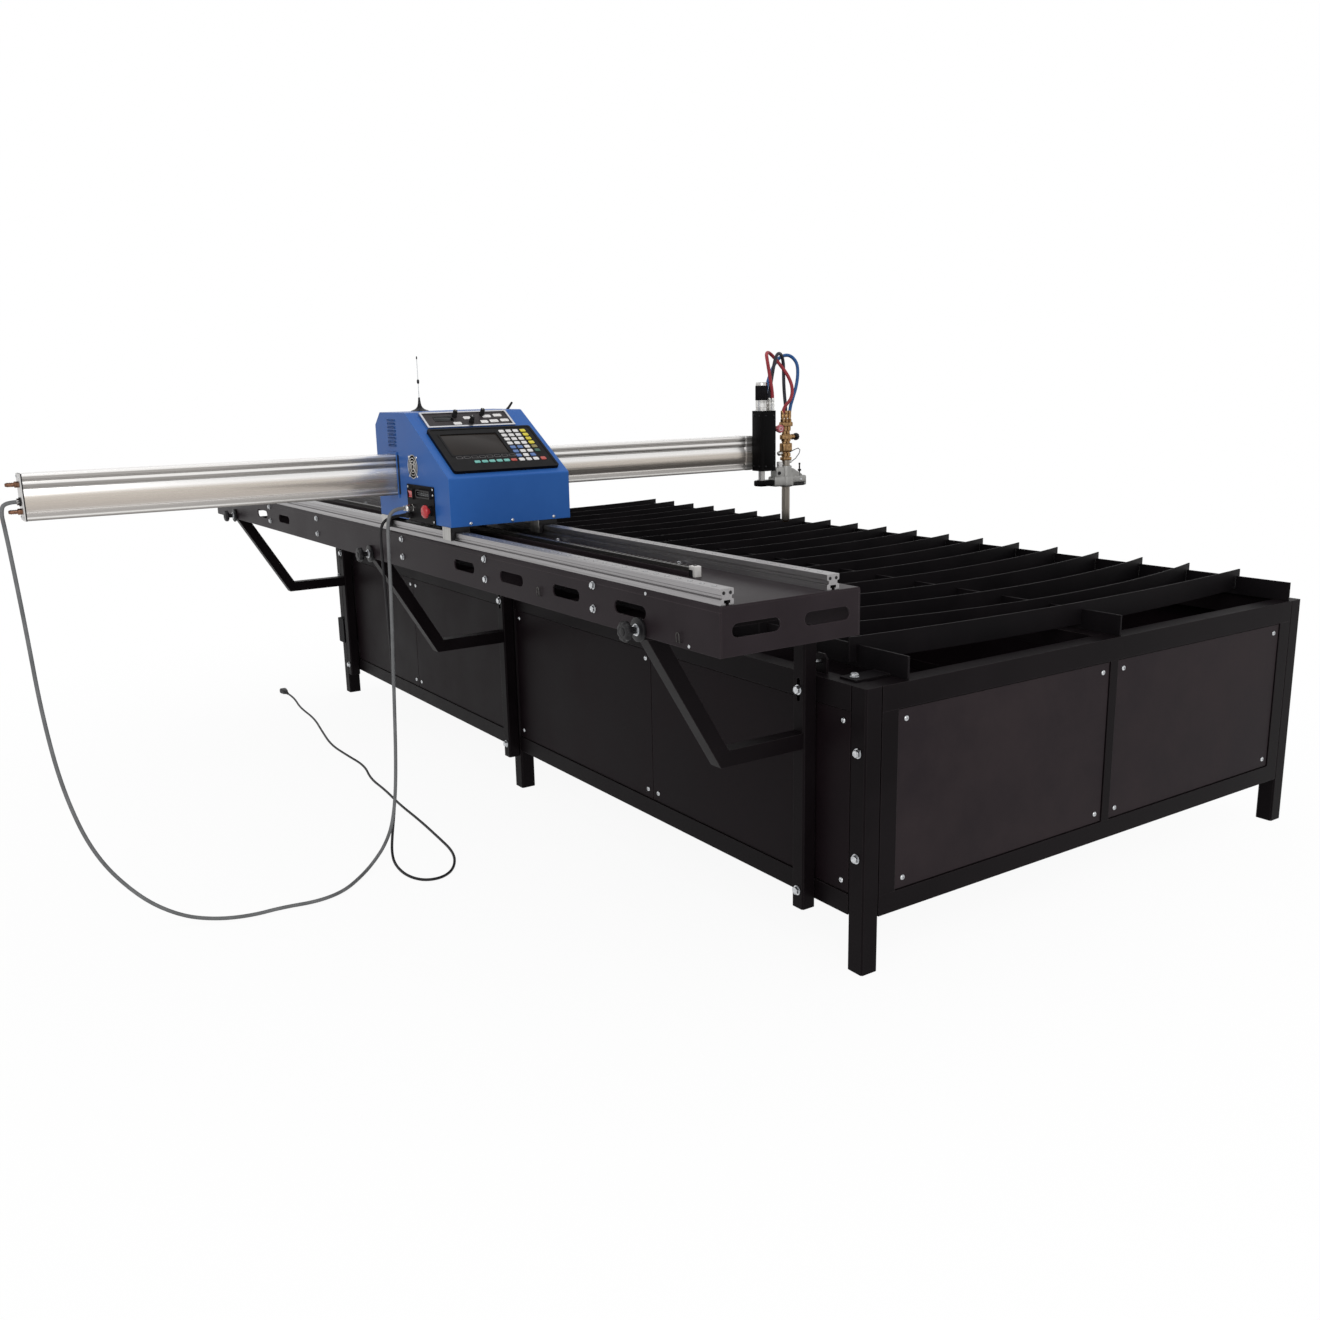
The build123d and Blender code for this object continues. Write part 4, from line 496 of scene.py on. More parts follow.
# Guide rails
# Two extruded aluminium rails along the base, held by countersunk screws down their tops, with four cored
# holes in their ends.
# Extruded, drawn, ground or milled metal: fine lines along its length, with a soft stretched sheen. The real
# lines are finer than 1 mm, drawn here at 3 mm so that they show.
def extruded(name, colour, dark, roughness, along, metallic=1.0, ridge=0.12):
    material, shader, where = finish(name, colour, roughness, metallic=metallic)
    line_width, line_length, line_depth = 3.0 * mm, 900.0 * mm, 0.25 * mm
    stretch = [1 / (line_length if axis == along else line_width) for axis in range(3)]
    drawn = add(material, "Mapping", {"Vector": where, "Scale": stretch})
    lines = add(material, "TexNoise", {"Vector": drawn, "Scale": 1.0, "Detail": 5.0, "Roughness": 0.65})
    vary(material, shader, lines, 0.3, 0.72, colour, dark, (roughness, roughness + 0.14))
    connect(shader, {"Normal": add(material, "Bump", {"Height": lines, "Strength": ridge, "Distance": line_depth})})
    return material


coat(extruded("extruded_rail_aluminium", "#A3A1A2", "#8C8A8B", 0.32, 0), "guide_rails")
rail_screw_pitch, rail_end_gap, rail_hole_inset = 40.0, 30.0, 8.0
rail_screw = ((4.0, -0.4), (4.0, 0.1), (3.4, 0.36), (2.0, 0.36), (1.9, 0.3, 6), (1.8, -0.3, 6), (0, -0.3))
# The counterbores round the screws and the cored holes in the rails' ends are drawn as flat discs of blackened steel:
# painted shade where the recesses are.
rail_screws, rail_bore_shade_discs = bmesh.new(), bmesh.new()
for low, high in solids_of("guide_rails"):
    middle_y, place = (low.y + high.y) / 2, low.x + rail_end_gap
    while place < high.x - rail_end_gap / 2:
        head = (place, middle_y, high.z)
        turned(rail_bore_shade_discs, ((5.6, 0.0), (5.6, 0.15), (3.6, 0.15), (3.6, 0.0)), head, (0, 0, 1), sides=16)
        turned(rail_screws, rail_screw, head, (0, 0, 1), sides=12)
        place += rail_screw_pitch
    for side in (-1, 1):
        across = middle_y + side * ((high.y - low.y) / 2 - rail_hole_inset)
        for end, outward in ((low.x, -1), (high.x, 1)):
            turned(rail_bore_shade_discs, ((3.6, 0.0), (3.6, 0.3), (2.8, 0.3), (2.6, 0.1), (0, 0.1)),
                   (end, across, high.z - rail_hole_inset), (outward, 0, 0), sides=16)
# Blackened steel: nearly black, with a dull metallic edge light.
black_screw = bright_metal("black_oxide_steel", "#3A393A", "#262526", 0.35, 6.0)
build("rail_bore_shade_discs", rail_bore_shade_discs, black_screw, "table")
build("rail_screws", rail_screws, zinc, "table")

# Rack
# A milled steel gear rack beside the inner rail, screwed down to the base and oiled dark. The pinion of the
# carriage's drive runs on its teeth.
# Oiled bare steel: dark grey brown, with a low sheen.
rack_steel = extruded("oiled_rack_steel", "#5A5856", "#3A3837", 0.36, 0)
coat(rack_steel, "rack")


# Base bolts
# Pairs of small zinc-plated hexagon bolts down the base's outer side, a row of smaller ones on its top
# beside the rack, and two rivets and two cable eyes of bent wire near its end.
def wire(mesh, points, radius, closed=False):
    """Adds a round wire along points."""
    line = bpy.data.curves.new("wire", "CURVE")
    line.dimensions = "3D"
    line.bevel_depth = radius
    line.bevel_resolution = 3
    line.use_fill_caps = True
    trace(line, points, closed)
    settle(mesh, line)


base_bolt = (13.0, 5.0, strut_bolt[2] * 13.0 / strut_bolt[0], strut_bolt[3])
top_bolt, top_bolt_stations, top_bolt_y = (10.0, 4.0, 7.0, 1.2), (1292.0, 717.0, -717.0, -1292.0), -208.0
widest_bolt, rivet_places = 21.0, ((1546.0, base_high.z - 8), (1698.0, base_low.z + 7))
base_bolts, rack_stops = bmesh.new(), []
for low, high in solids_of("base_hardware"):
    middle = (low + high) / 2
    if high.x - low.x > widest_bolt:
        rack_stops.append((low, high))
    else:
        hex_bolt(base_bolts, (middle.x, high.y, middle.z), (0, -1, 0), *base_bolt)
for station in top_bolt_stations:
    hex_bolt(base_bolts, (station, top_bolt_y, base_high.z), (0, 0, 1), *top_bolt)
for x, z in rivet_places:
    turned(base_bolts, ((4.0, 0.0), (3.8, 0.8), (2.6, 1.7), (0, 2.0)), (x, base_low.y, z), (0, -1, 0), sides=16)
build("base_bolts_hexagon", base_bolts, zinc, "table", ["base_hardware"])
eye_half, eye_wire, eye_places = 5.0, 1.2, ((1666.0, base_low.z + 9), (1089.0, base_low.z + 26))
eye_bend = ((-1, -1, 0), (-1, 4, 2), (-1, 5, 16), (-0.7, 5, 20), (0, 5, 22), (0.7, 5, 20), (1, 5, 16), (1, 4, 2),
            (1, -1, 0))
eyes = bmesh.new()
for x, z in eye_places:
    wire(eyes, [(x + eye_half * side, base_low.y - out, z + rise) for side, out, rise in eye_bend], eye_wire)
build("base_cable_eyes", eyes, rack_steel, "table")


# Hand knobs
# Round moulded knobs on plated screws, which clamp the base to its arms: a flange, a lobed grip, and a bright
# hexagon nut between them.
# Moulded ABS and other plastics: satin, a little cloudy, with the fine grain of the mould, drawn coarser than
# it is so that it shows.
def moulded(name, colour, lighter, roughness, grain=1.5, specular=0.22, cloud=(30.0, 4.0), bump=(0.15, 0.2)):
    material, shader, where = finish(name, colour, roughness, specular=specular)
    clouds = add(material, "TexNoise", {"Vector": where, "Scale": 1 / (cloud[0] * mm), "Detail": cloud[1]})
    vary(material, shader, clouds, 0.35, 0.7, colour, lighter)
    grains = add(material, "TexNoise", {"Vector": where, "Scale": 1 / (grain * mm), "Detail": 2.0})
    connect(shader, {"Normal": add(material, "Bump", {"Height": grains, "Strength": bump[0],
                                                      "Distance": bump[1] * mm})})
    return material


black_abs = moulded("moulded_black_abs", "#121113", "#1C1B1D", 0.42)
knob_gap = 0.4
for body in ("knob_near", "knob_mid", "knob_far"):
    low, high = solids_of(body)[0]
    seat = ((low.x + high.x) / 2, base_low.y - knob_gap, (low.z + high.z) / 2)
    grip = bmesh.new()
    turned(grip, ((9.0, 0.0), (23.0, 0.2), (25.6, 1.4), (26.4, 4.0), (25.8, 7.2), (23.0, 8.6), (9.0, 8.6)), seat,
           (0, -1, 0), sides=54)
    turned(grip, ((8.0, 14.0), (8.4, 27.0), (14.0, 28.2), (20.6, 29.6), (22.6, 32.6), (22.6, 39.0), (21.0, 42.6),
                  (17.0, 44.2), (10.5, 43.8), (9.0, 43.2)), seat, (0, -1, 0), sides=72, lobes=9, depth=2.2)
    turned(grip, ((9.4, 42.6), (9.4, 44.0), (8.2, 45.2), (4.0, 45.8), (0, 46.0)), seat, (0, -1, 0), sides=36)
    build(body + "_grip", grip, black_abs, body)
    screw = bmesh.new()
    turned(screw, ((5.0, 0.0), (5.0, high.y - seat[1])), seat, (0, 1, 0), sides=18)
    turned(screw, ((12.5, 8.6), (13.0, 9.0), (13.0, 10.2), (9.5, 10.4, 6), (9.5, 14.6, 6)), seat, (0, -1, 0))
    build(body + "_screw", screw, zinc, body, [body])

# Rack stops
# A white nylon block screwed to the base at each end of the rack, with a black rubber buffer let into it,
# a coated packing strip along the rack's back, and two webs of folded sheet inside the base.
# Natural nylon: off-white and a little waxy.
stop_nylon = moulded("white_nylon_stop", "#D9D7D4", "#C9C7C4", 0.45)
block_share, shelf_share, stop_ease = 0.12, 0.62, 1.2
stop_blocks, stop_buffers = bmesh.new(), bmesh.new()
for low, high in rack_stops:
    middle, span = (low + high) / 2, high - low
    outward = 1 if middle.x > 0 else -1
    part = middle.x + outward * span.x * block_share
    outer, inner = ((part, high.x), (low.x, part))[::outward]
    shelf = low.z + span.z * shelf_share
    slab(stop_blocks, (outer[0], low.y, low.z), (outer[1], high.y, high.z), stop_ease)
    slab(stop_blocks, (inner[0], low.y, shelf), (inner[1], high.y, high.z), stop_ease)
    slab(stop_buffers, (inner[0], low.y + 1, low.z), (inner[1], high.y - 1, shelf), stop_ease)
    turned(stop_buffers, ((5.0, -0.2), (5.0, 0.4), (4.0, 0.8), (2.4, 0.8, 6), (2.4, -0.4, 6), (0, -0.4)),
           (middle.x, middle.y, high.z), (0, 0, 1), sides=12)
build("rack_stop_blocks", stop_blocks, stop_nylon, "table")
rack_low, rack_high = solids_of("rack")[0]
packing_height, web_gap, web_reach, web_foot, web_lap, fold_ease = 10.5, 25.0, 75.0, 3.0, 0.5, 0.4
folds = bmesh.new()
slab(folds, (rack_low.x, rack_low.y - strip_sheet, base_high.z),
     (rack_high.x, rack_low.y, base_high.z + packing_height), fold_ease)
for station in (slot_stations[2], slot_stations[4]):
    web_x = station - slot_size[0] / 2 - web_gap
    slab(folds, (web_x - base_sheet, base_low.y + base_sheet - web_lap, base_low.z + web_foot),
         (web_x, base_low.y + web_reach, end_top + web_lap), fold_ease)
build("base_folded_webs", folds, base_coat, "table")
build("rack_stop_buffers", stop_buffers, black_abs, "table")


# Carriage casing
# A box folded from steel sheet, with a sloped console and louvres pressed into its outer side, coated blue and
# screwed to the floor plate along its foot.
def leaf(mesh, grid, thickness):
    """Adds a curved sheet over rows of points, with a thickness."""
    rows = [[mesh.verts.new(point) for point in row] for row in grid]
    faces = [mesh.faces.new((a[i], a[i + 1], b[i + 1], b[i]))
             for a, b in zip(rows, rows[1:]) for i in range(len(a) - 1)]
    bmesh.ops.solidify(mesh, geom=faces, thickness=thickness)


# Blue powder coat: even and a little glossier than the black, with a painted highlight of paler blue along its folds.
blue_coat = powder_coat("blue_powder_coat", "#29599F", "#3061A8", "#5A88CC", gloss=(0.3, 0.42), specular=0.1)
coat(blue_coat, "carriage_casing")
casing_low, casing_high = solids_of("carriage_casing")[0]
louvre_station, louvre_rows, louvre_pitch, louvre_drop = 251.0, 8, 10.0, 18.3
louvre_half, louvre_foot, louvre_lift, louvre_reach, louvre_sheet = 31.0, 0.2, 2.8, 6.4, 0.9
quarters = (0, 0.25, 0.5, 0.75, 1)
lips = bmesh.new()
for row in range(louvre_rows):
    crown = casing_high.z - louvre_drop - row * louvre_pitch
    grid = []
    for side in (across / 8 - 1 for across in range(17)):
        swell = louvre_foot + louvre_lift * (1 - abs(side) ** 9)
        grid.append([(louvre_station + louvre_half * side, casing_low.y - swell * math.sin(math.pi / 2 * down),
                      crown - louvre_reach * down) for down in quarters])
    leaf(lips, grid, louvre_sheet)
# The same coat on the thin pressed lips, where it lies thicker and keeps an even blue.
louvre_coat = moulded("blue_louvre_coat", "#29599F", "#3061A8", 0.4, grain=5.0, specular=0.16)
build("casing_louvres", lips, louvre_coat, "carriage", crease=60)
casing_screw = ((4.5, 0.0), (4.4, 0.6), (3.6, 1.5), (2.2, 2.0), (1.8, 1.9, 6), (1.6, 0.9, 6), (0, 0.9))
screw_inset, end_screw_rows, side_screw_stations = 7.0, (-417.0, -293.0, -165.0), (150.0, 600.0)
casing_screws = bmesh.new()
for y in end_screw_rows:
    for x, outward in ((casing_high.x, 1), (casing_low.x, -1)):
        turned(casing_screws, casing_screw, (x, y, casing_low.z + screw_inset), (outward, 0, 0))
for x in side_screw_stations:
    turned(casing_screws, casing_screw, (x, casing_high.y, casing_low.z + screw_inset), (0, 1, 0))
build("casing_screws", casing_screws, zinc, "carriage")


# Carriage works
# The coated floor plate, the blocks that run on the rails with milled plates and rubber wipers, the collars
# round the beam with a flat black strip each over the slot beside the beam, painted shade of that slot, and the two
# drives with their pinions.
def rounded(middle, size, radius, steps=5):
    """Outline of a rectangle with round corners."""
    points = []
    for turn, (side_x, side_y) in enumerate(((1, 1), (-1, 1), (-1, -1), (1, -1))):
        for angle in (math.pi / 2 * (turn + step / steps) for step in range(steps + 1)):
            points.append((middle[0] + side_x * (size[0] / 2 - radius) + radius * math.cos(angle),
                           middle[1] + side_y * (size[1] / 2 - radius) + radius * math.sin(angle)))
    return points


# Powder coat out of the light: plain satin black.
coat(powder_coat("black_chassis_coat", "#121011", "#1A1718", "#2E2A2B"), "chassis", "rail_sliders")
# Milled aluminium: pale grey, with upright tool lines.
slider_metal = extruded("milled_slider_aluminium", "#BDBCB9", "#9F9D9A", 0.32, 2)
rail_crown, wiper_plate, wiper_edge, rail_clear = 971.0, 1.6, 1.0, 17.5
slider_plates, wipers = bmesh.new(), bmesh.new()
for low, high in solids_of("rail_sliders"):
    middle_y, edges = (low.y + high.y) / 2, (low.y + wiper_edge, high.y - wiper_edge)
    slab(slider_plates, (low.x, low.y - wiper_plate, low.z), (high.x, low.y, high.z), 0.6)
    for x in (low.x - wiper_plate, high.x):
        slab(wipers, (x, edges[0], rail_crown), (x + wiper_plate, edges[1], high.z - 1), 0.5)
        for cheek in ((edges[0], middle_y - rail_clear), (middle_y + rail_clear, edges[1])):
            slab(wipers, (x, cheek[0], low.z + wiper_edge), (x + wiper_plate, cheek[1], rail_crown + 1), 0.5)
build("slider_plates", slider_plates, slider_metal, "carriage")
build("slider_wipers", wipers, black_abs, "carriage")
coat(blue_coat, "beam_collars")
# Acetal: black and waxy. The flat strips of it over the collar's slot beside the beam are painted shade, standing for
# the dark gap of that slot.
collar_plastic = moulded("black_acetal_strip", "#0E0E0F", "#171718", 0.5)
seal_middle, seal_size, seal_radius, seal_proud = (284.0, 1107.5), (14.0, 111.0), 4.0, 1.4
slot_shade_strips = bmesh.new()
for y in (casing_low.y - seal_proud / 2, casing_high.y + seal_proud / 2):
    sheet(slot_shade_strips, [rounded(seal_middle, seal_size, seal_radius)], seal_proud, upright((0, y, 0), (1, 0, 0)))
build("collar_slot_shade_strips", slot_shade_strips, collar_plastic, "carriage")
# Baked enamel: satin black, with a painted highlight of paler colour along its edges.
motor_coat = powder_coat("black_motor_enamel", "#111012", "#1A181A", "#333034")
coat(motor_coat, "drive_motors")
coat(rack_steel, "x_pinion", "y_pinion")

# Torch-height panel
# A dark printed plate in a bright mitred frame, screwed to the top of the console, with a small tinted window
# and soft white pads.
console_drop, console_run, console_edge = 168.0, 270.0, 352.0
slope = math.atan2(console_drop, console_run)
console = Matrix.Translation((console_edge, 0, casing_high.z)) @ Matrix((
    (0, -math.cos(slope), math.sin(slope)), (1, 0, 0), (0, math.sin(slope), math.cos(slope)))).to_4x4()


def raised(lift):
    """The console's plane, lifted along its normal."""
    return console @ Matrix.Translation((0, 0, lift))


def rim(middle, size, width, radius, inner_radius, steps=5):
    """Outlines of a rectangular frame with round corners and a rim of a width."""
    return [rounded(middle, size, radius, steps),
            rounded(middle, [side - 2 * width for side in size], inner_radius, steps)]


def tile(mesh, middle, size, low, high, ease):
    """Adds a flat block on the console between two heights above it."""
    slab(mesh, (middle[0] - size[0] / 2, middle[1] - size[1] / 2, low),
         (middle[0] + size[0] / 2, middle[1] + size[1] / 2, high), ease, console)


def pad(mesh, middle, size, foot, height, radius=3.0):
    """Adds a soft key on the console: a rounded block whose top draws in to a low dome."""
    rings = []
    for inset, rise in ((0.0, 0.0), (0.0, height * 0.6), (0.25 * radius, height * 0.88), (radius, height)):
        outline = rounded(middle, [side - 2 * inset for side in size], max(radius - inset, 0.3), 4)
        rings.append([mesh.verts.new(console @ Vector((x, y, foot + rise))) for x, y in outline])
    skin(mesh, rings)


panel_size, panel_middle, panel_rim, panel_plate, panel_depth = (268.0, 76.0), (-305.0, -49.0), 6.0, 4.0, 7.0
panel_outlines = rim(panel_middle, panel_size, panel_rim, 2.0, 1.0)
surround, plate = bmesh.new(), bmesh.new()
sheet(surround, panel_outlines, panel_depth, raised(panel_depth / 2))
# Bright extruded aluminium: clear silver with fine lines.
rim_metal = extruded("bright_frame_aluminium", "#C4C4C7", "#ABABAE", 0.28, 1)
build("thc_frame", surround, rim_metal, "carriage", ["thc_panel"])
sheet(plate, panel_outlines[1:], panel_plate, raised(panel_plate / 2))
# Printed polyester overlay: dark grey, nearly matt.
plate_print = moulded("printed_grey_overlay", "#332F31", "#3D393B", 0.45, specular=0.1)
build("thc_face", plate, plate_print, "carriage")
window_middle, window_size, window_frame = (-377.0, -43.0), (52.0, 18.0), (57.0, 23.0)
window_rim, window_lip, window_sheet = 2.5, 1.2, 0.5
window = bmesh.new()
sheet(window, rim(window_middle, window_frame, window_rim, 2.0, 0.8), window_lip,
      raised(panel_plate + window_lip / 2))
tile(window, window_middle, window_size, panel_plate, panel_plate + window_sheet, 0.2)
# Tinted acrylic: near black, glossy, with a faint smear from wiping.
tinted, shader, where = finish("tinted_window_acrylic", "#0B0B0D", 0.12, specular=0.15)
smear = add(tinted, "TexNoise", {"Vector": where, "Scale": 1 / (25 * mm), "Detail": 5.0})
connect(shader, {"Roughness": add(tinted, "MapRange", {"Value": smear, "From Min": 0.3, "From Max": 0.7,
                                                       "To Min": 0.08, "To Max": 0.22})})
build("thc_window", window, tinted, "carriage")
pads, pad_depth, pad_height = bmesh.new(), 13.0, 1.6
for down, across, width in ((42, -304, 22), (68, -343, 24), (37, -241, 26), (34, -206, 26), (64, -259, 22),
                            (62, -228, 26), (60, -194, 26)):
    pad(pads, (across, -down), (width, pad_depth), panel_plate, pad_height)
# Silicone rubber: milky white and soft, without clear highlights.
white_pad = moulded("white_silicone_pad", "#DEDCDB", "#CFCDCC", 0.5)
build("thc_pads", pads, white_pad, "carriage")

# Panel knobs
# Tall fluted plastic knobs pushed on the spindles of the torch-height panel, each with a white pointer line
# let into its cap and down its side.
dial_gap, dial_height, mark_half, mark_ease = 0.4, 20.0, 0.6, 0.08
for body, down, across in (("dial_left", 33.0, -339.0), ("dial_mid", 65.0, -300.0), ("dial_right", 30.0, -253.0)):
    seat = raised(panel_plate + dial_gap) @ Matrix.Translation((across, -down, 0))
    knob, mark = bmesh.new(), bmesh.new()
    turned(knob, ((3.0, -4.0), (3.0, 0.0), (7.4, 0.0), (7.5, 0.6), (7.3, 3.2), (6.7, 4.6), (6.3, 17.5),
                  (6.0, 19.2), (5.2, dial_height)), seat.to_translation(), seat.to_3x3() @ Vector((0, 0, 1)),
           sides=56, lobes=14, depth=0.6)
    build(body + "_knob", knob, black_abs, body, [body])
    slab(mark, (-mark_half, 0.5, dial_height - 0.1), (mark_half, 5.0, dial_height + 0.2), mark_ease, seat)
    slab(mark, (-mark_half, 5.6, 13.0), (mark_half, 6.5, 18.6), mark_ease, seat)
    build(body + "_pointer", mark, white_pad, body)

# Controller
# A glossy black moulded housing with rounded corners, let into the console and held from behind. Its screen
# is set back behind the bezel.
controller_size, controller_middle, controller_height = (316.0, 202.0), (-292.0, -198.0), 8.0
screen_size, screen_frame, screen_middle = (170.0, 99.0), (182.0, 111.0), (-338.0, -176.0)
screen_set, screen_sheet = 1.2, 2.0
bezel, display = bmesh.new(), bmesh.new()
for outlines, foot, thickness in (
        ([rounded(controller_middle, controller_size, 8.0, 8), rounded(screen_middle, screen_size, 2.0)], 0.0,
         controller_height),
        (rim(controller_middle, controller_size, 7.0, 8.0, 5.0, 8), controller_height, 1.2),
        (rim(screen_middle, screen_frame, 6.0, 4.0, 2.0), controller_height, 0.8)):
    sheet(bezel, outlines, thickness, raised(foot + thickness / 2))
# Polished ABS: deep black, with soft reflections.
bezel_gloss = moulded("glossy_black_abs", "#0C0B0C", "#141314", 0.3, grain=4.0, specular=0.05)
build("controller_bezel", bezel, bezel_gloss, "carriage", ["controller"])
screen_top = controller_height - screen_set
tile(display, screen_middle, screen_size, screen_top - screen_sheet, screen_top, 0.4)
# Unlit LCD behind hard-coated glass: grey brown, slightly uneven, with a soft gloss.
lcd, shader, where = finish("unlit_lcd_glass", "#241F1D", 0.2, specular=0.06)
uneven = add(lcd, "TexNoise", {"Vector": where, "Scale": 1 / (90 * mm), "Detail": 3.0})
tone = add(lcd, "Mix", {0: uneven, 6: paint("#221E1C"), 7: paint("#2D2825")}, data_type="RGBA")
connect(shader, {"Base Color": tone, "Coat Weight": 0.03, "Coat Roughness": 0.08})
build("controller_screen", display, lcd, "carriage", ["screen"])

# Keypad
# Moulded keys in four columns, coloured by use, with a row of soft keys under the screen and the printed
# outlines of touch keys above that row. The keys stand in holes of the bezel.
key_size, soft_size, key_height = (16.0, 13.0), (17.0, 11.0), 2.0
key_columns, key_first, key_step = (-233.0, -211.0, -189.0, -166.0), -122.0, 19.7
key_rows = ("wwwy", "wwwy", "wwwy", "wwwy", "bbwo", "bwwg", "bwb.", "wwwr")
soft_keys, soft_first, soft_step, soft_row = "tttttr", -367.0, 22.0, -260.0
places = [(letter, (x, key_first - key_step * row), key_size)
          for row, letters in enumerate(key_rows) for x, letter in zip(key_columns, letters)]
places += [(letter, (soft_first + soft_step * index, soft_row), soft_size) for index, letter in enumerate(soft_keys)]
for tag, colour, tone, lighter in (
        ("w", "white", "#DAD9D8", "#CBCAC9"), ("y", "yellow", "#C9B92F", "#D6C843"),
        ("b", "blue", "#4E6A9C", "#5C79AB"), ("o", "olive", "#7D7448", "#8A8154"),
        ("g", "green", "#2F5247", "#3A6053"), ("r", "red", "#A84A44", "#B65952"),
        ("t", "teal", "#63A69D", "#77B6AD")):
    keys = bmesh.new()
    for letter, middle, size in places:
        if letter == tag:
            pad(keys, middle, size, controller_height, key_height)
    # Moulded key plastic: an even satin colour.
    key_plastic = moulded(colour + "_key_plastic", tone, lighter, 0.4)
    build(colour + "_keys", keys, key_plastic, "carriage", ["keypad"] if tag == "w" else ())
touch_count, touch_first, touch_step, touch_row, touch_ink = 8, -410.0, 22.5, -237.0, 0.4
touch = bmesh.new()
for index in range(touch_count):
    middle = (touch_first + index * touch_step, touch_row)
    sheet(touch, rim(middle, (18.0, 11.0), 1.2, 2.0, 1.2), touch_ink, raised(controller_height + touch_ink / 2))
# Printed ink: flat mid grey on the black face.
touch_print = moulded("grey_touch_print", "#5E5B5C", "#6B6869", 0.5)
build("touch_outlines", touch, touch_print, "carriage")

# Connector plate
# A black coated steel plate screwed to the casing's outer side by its corners, with the switch rim and the
# button collar on it and two screws beside the data socket.
# Powder coat on a flat plate: even satin black.
plate_coat = powder_coat("black_plate_coat", "#0F0E0F", "#171516", "#2B2829", gloss=(0.4, 0.52))
coat(plate_coat, "connector_plate")


def small_screw(mesh, seat, outward):
    """Adds a small domed socket screw."""
    turned(mesh, ((3.4, 0.0), (3.3, 0.6), (2.6, 1.4), (1.6, 1.7), (1.3, 1.6, 6), (1.2, 0.8, 6), (0, 0.8)), seat,
           outward, sides=18)


plate_face, plate_height, plate_edges = casing_low.y - 3.0, 101.0, (344.0, 526.0)
socket_middle, socket_size, socket_deep, socket_screws = (468.0, 1064.0), (92.0, 22.0), 8.0, (416.0, 519.0)
plate_screws = bmesh.new()
for x in (plate_edges[0] + screw_inset, plate_edges[1] - screw_inset):
    for rise in (screw_inset, plate_height - screw_inset):
        small_screw(plate_screws, (x, plate_face, casing_low.z + rise), (0, -1, 0))
for x in socket_screws:
    small_screw(plate_screws, (x, plate_face, socket_middle[1]), (0, -1, 0))
build("plate_screws", plate_screws, zinc, "carriage")

# Sockets
# A black moulded data socket with two rows of bright pins, the plated screw connector of the grey cable, and
# the black gland of the mains cord, all let into the plate.
cable_socket, mains_socket = (384.0, plate_face, 1022.0), (362.0, plate_face, 1000.0)
socket = bmesh.new()
sheet(socket, rim(socket_middle, socket_size, 3.0, 5.0, 3.0), socket_deep,
      upright((0, plate_face - socket_deep / 2, 0), (1, 0, 0)))
sheet(socket, [rounded(socket_middle, (90.0, 20.0), 4.0)], 2.0, upright((0, plate_face - 1.0, 0), (1, 0, 0)))
build("data_socket_shell", socket, black_abs, "carriage")
shell = bmesh.new()
turned(shell, ((9.5, 0.0), (9.5, 4.0), (8.6, 4.6), (8.6, 6.0), (9.3, 6.6), (9.3, 20.0), (8.4, 21.0), (7.6, 22.5),
               (7.4, 29.0), (5.2, 30.0)), cable_socket, (0, -1, 0), sides=48, lobes=24, depth=0.35)
# Nickel plate: bright and slightly warm, with sharp reflections.
nickel = bright_metal("nickel_plated_shell", "#E0DFDC", "#BDBBB7", 0.16, 6.0)
build("socket_shells", shell, nickel, "carriage", ["sockets"])
pins, pin_pitch = bmesh.new(), 6.2
for rise, count in ((2.5, 13), (-2.5, 12)):
    for index in range(count):
        x = socket_middle[0] + (index - (count - 1) / 2) * pin_pitch
        turned(pins, ((0.9, 0.0), (0.9, 3.6), (0.5, 4.0)), (x, plate_face - 2.0, socket_middle[1] + rise),
               (0, -1, 0), sides=8)
build("socket_pins", pins, zinc, "carriage")
gland = bmesh.new()
turned(gland, ((8.0, 0.0, 6), (8.0, 5.0, 6), (6.6, 5.2), (6.6, 7.0), (7.6, 7.2, 6), (7.6, 14.0, 6), (6.6, 16.0),
               (5.6, 22.0), (4.8, 30.0)), mains_socket, (0, -1, 0))
build("mains_gland", gland, black_abs, "carriage")

# Power switch
# A red moulded rocker with a dished face, tipping on a pin inside the black rim that is pressed into the
# plate.
# Moulded polycarbonate: clear red over a dark inside, glossy.
red_plastic = moulded("red_polycarbonate", "#B0262B", "#C43A3B", 0.25, specular=0.5)
rocker_seat, rocker_tilt = (374.0, plate_face - 2.0, 1060.0), math.radians(8.0)
rocker_middle = Matrix.Translation(rocker_seat) @ Matrix.Rotation(rocker_tilt, 4, "X")
half_x, half_y, half_z, rocker_edge, rocker_dip, rocker_steps = 13.0, 3.0, 9.0, (0.6, 0.5), 2.2, 10
rocker, rings = bmesh.new(), []
for share in (2 * step / rocker_steps - 1 for step in range(rocker_steps + 1)):
    face = rocker_dip * (1 - share ** 2) - half_y
    outline = ((half_x, half_y), (half_x, face + rocker_edge[1]), (half_x - rocker_edge[0], face))
    outline = [(-x, y) for x, y in outline] + list(outline[::-1])
    rings.append([rocker.verts.new(rocker_middle @ Vector((x, y, half_z * share))) for x, y in outline])
skin(rocker, rings)
build("rocker_key", rocker, red_plastic, "rocker", ["power_rocker"])

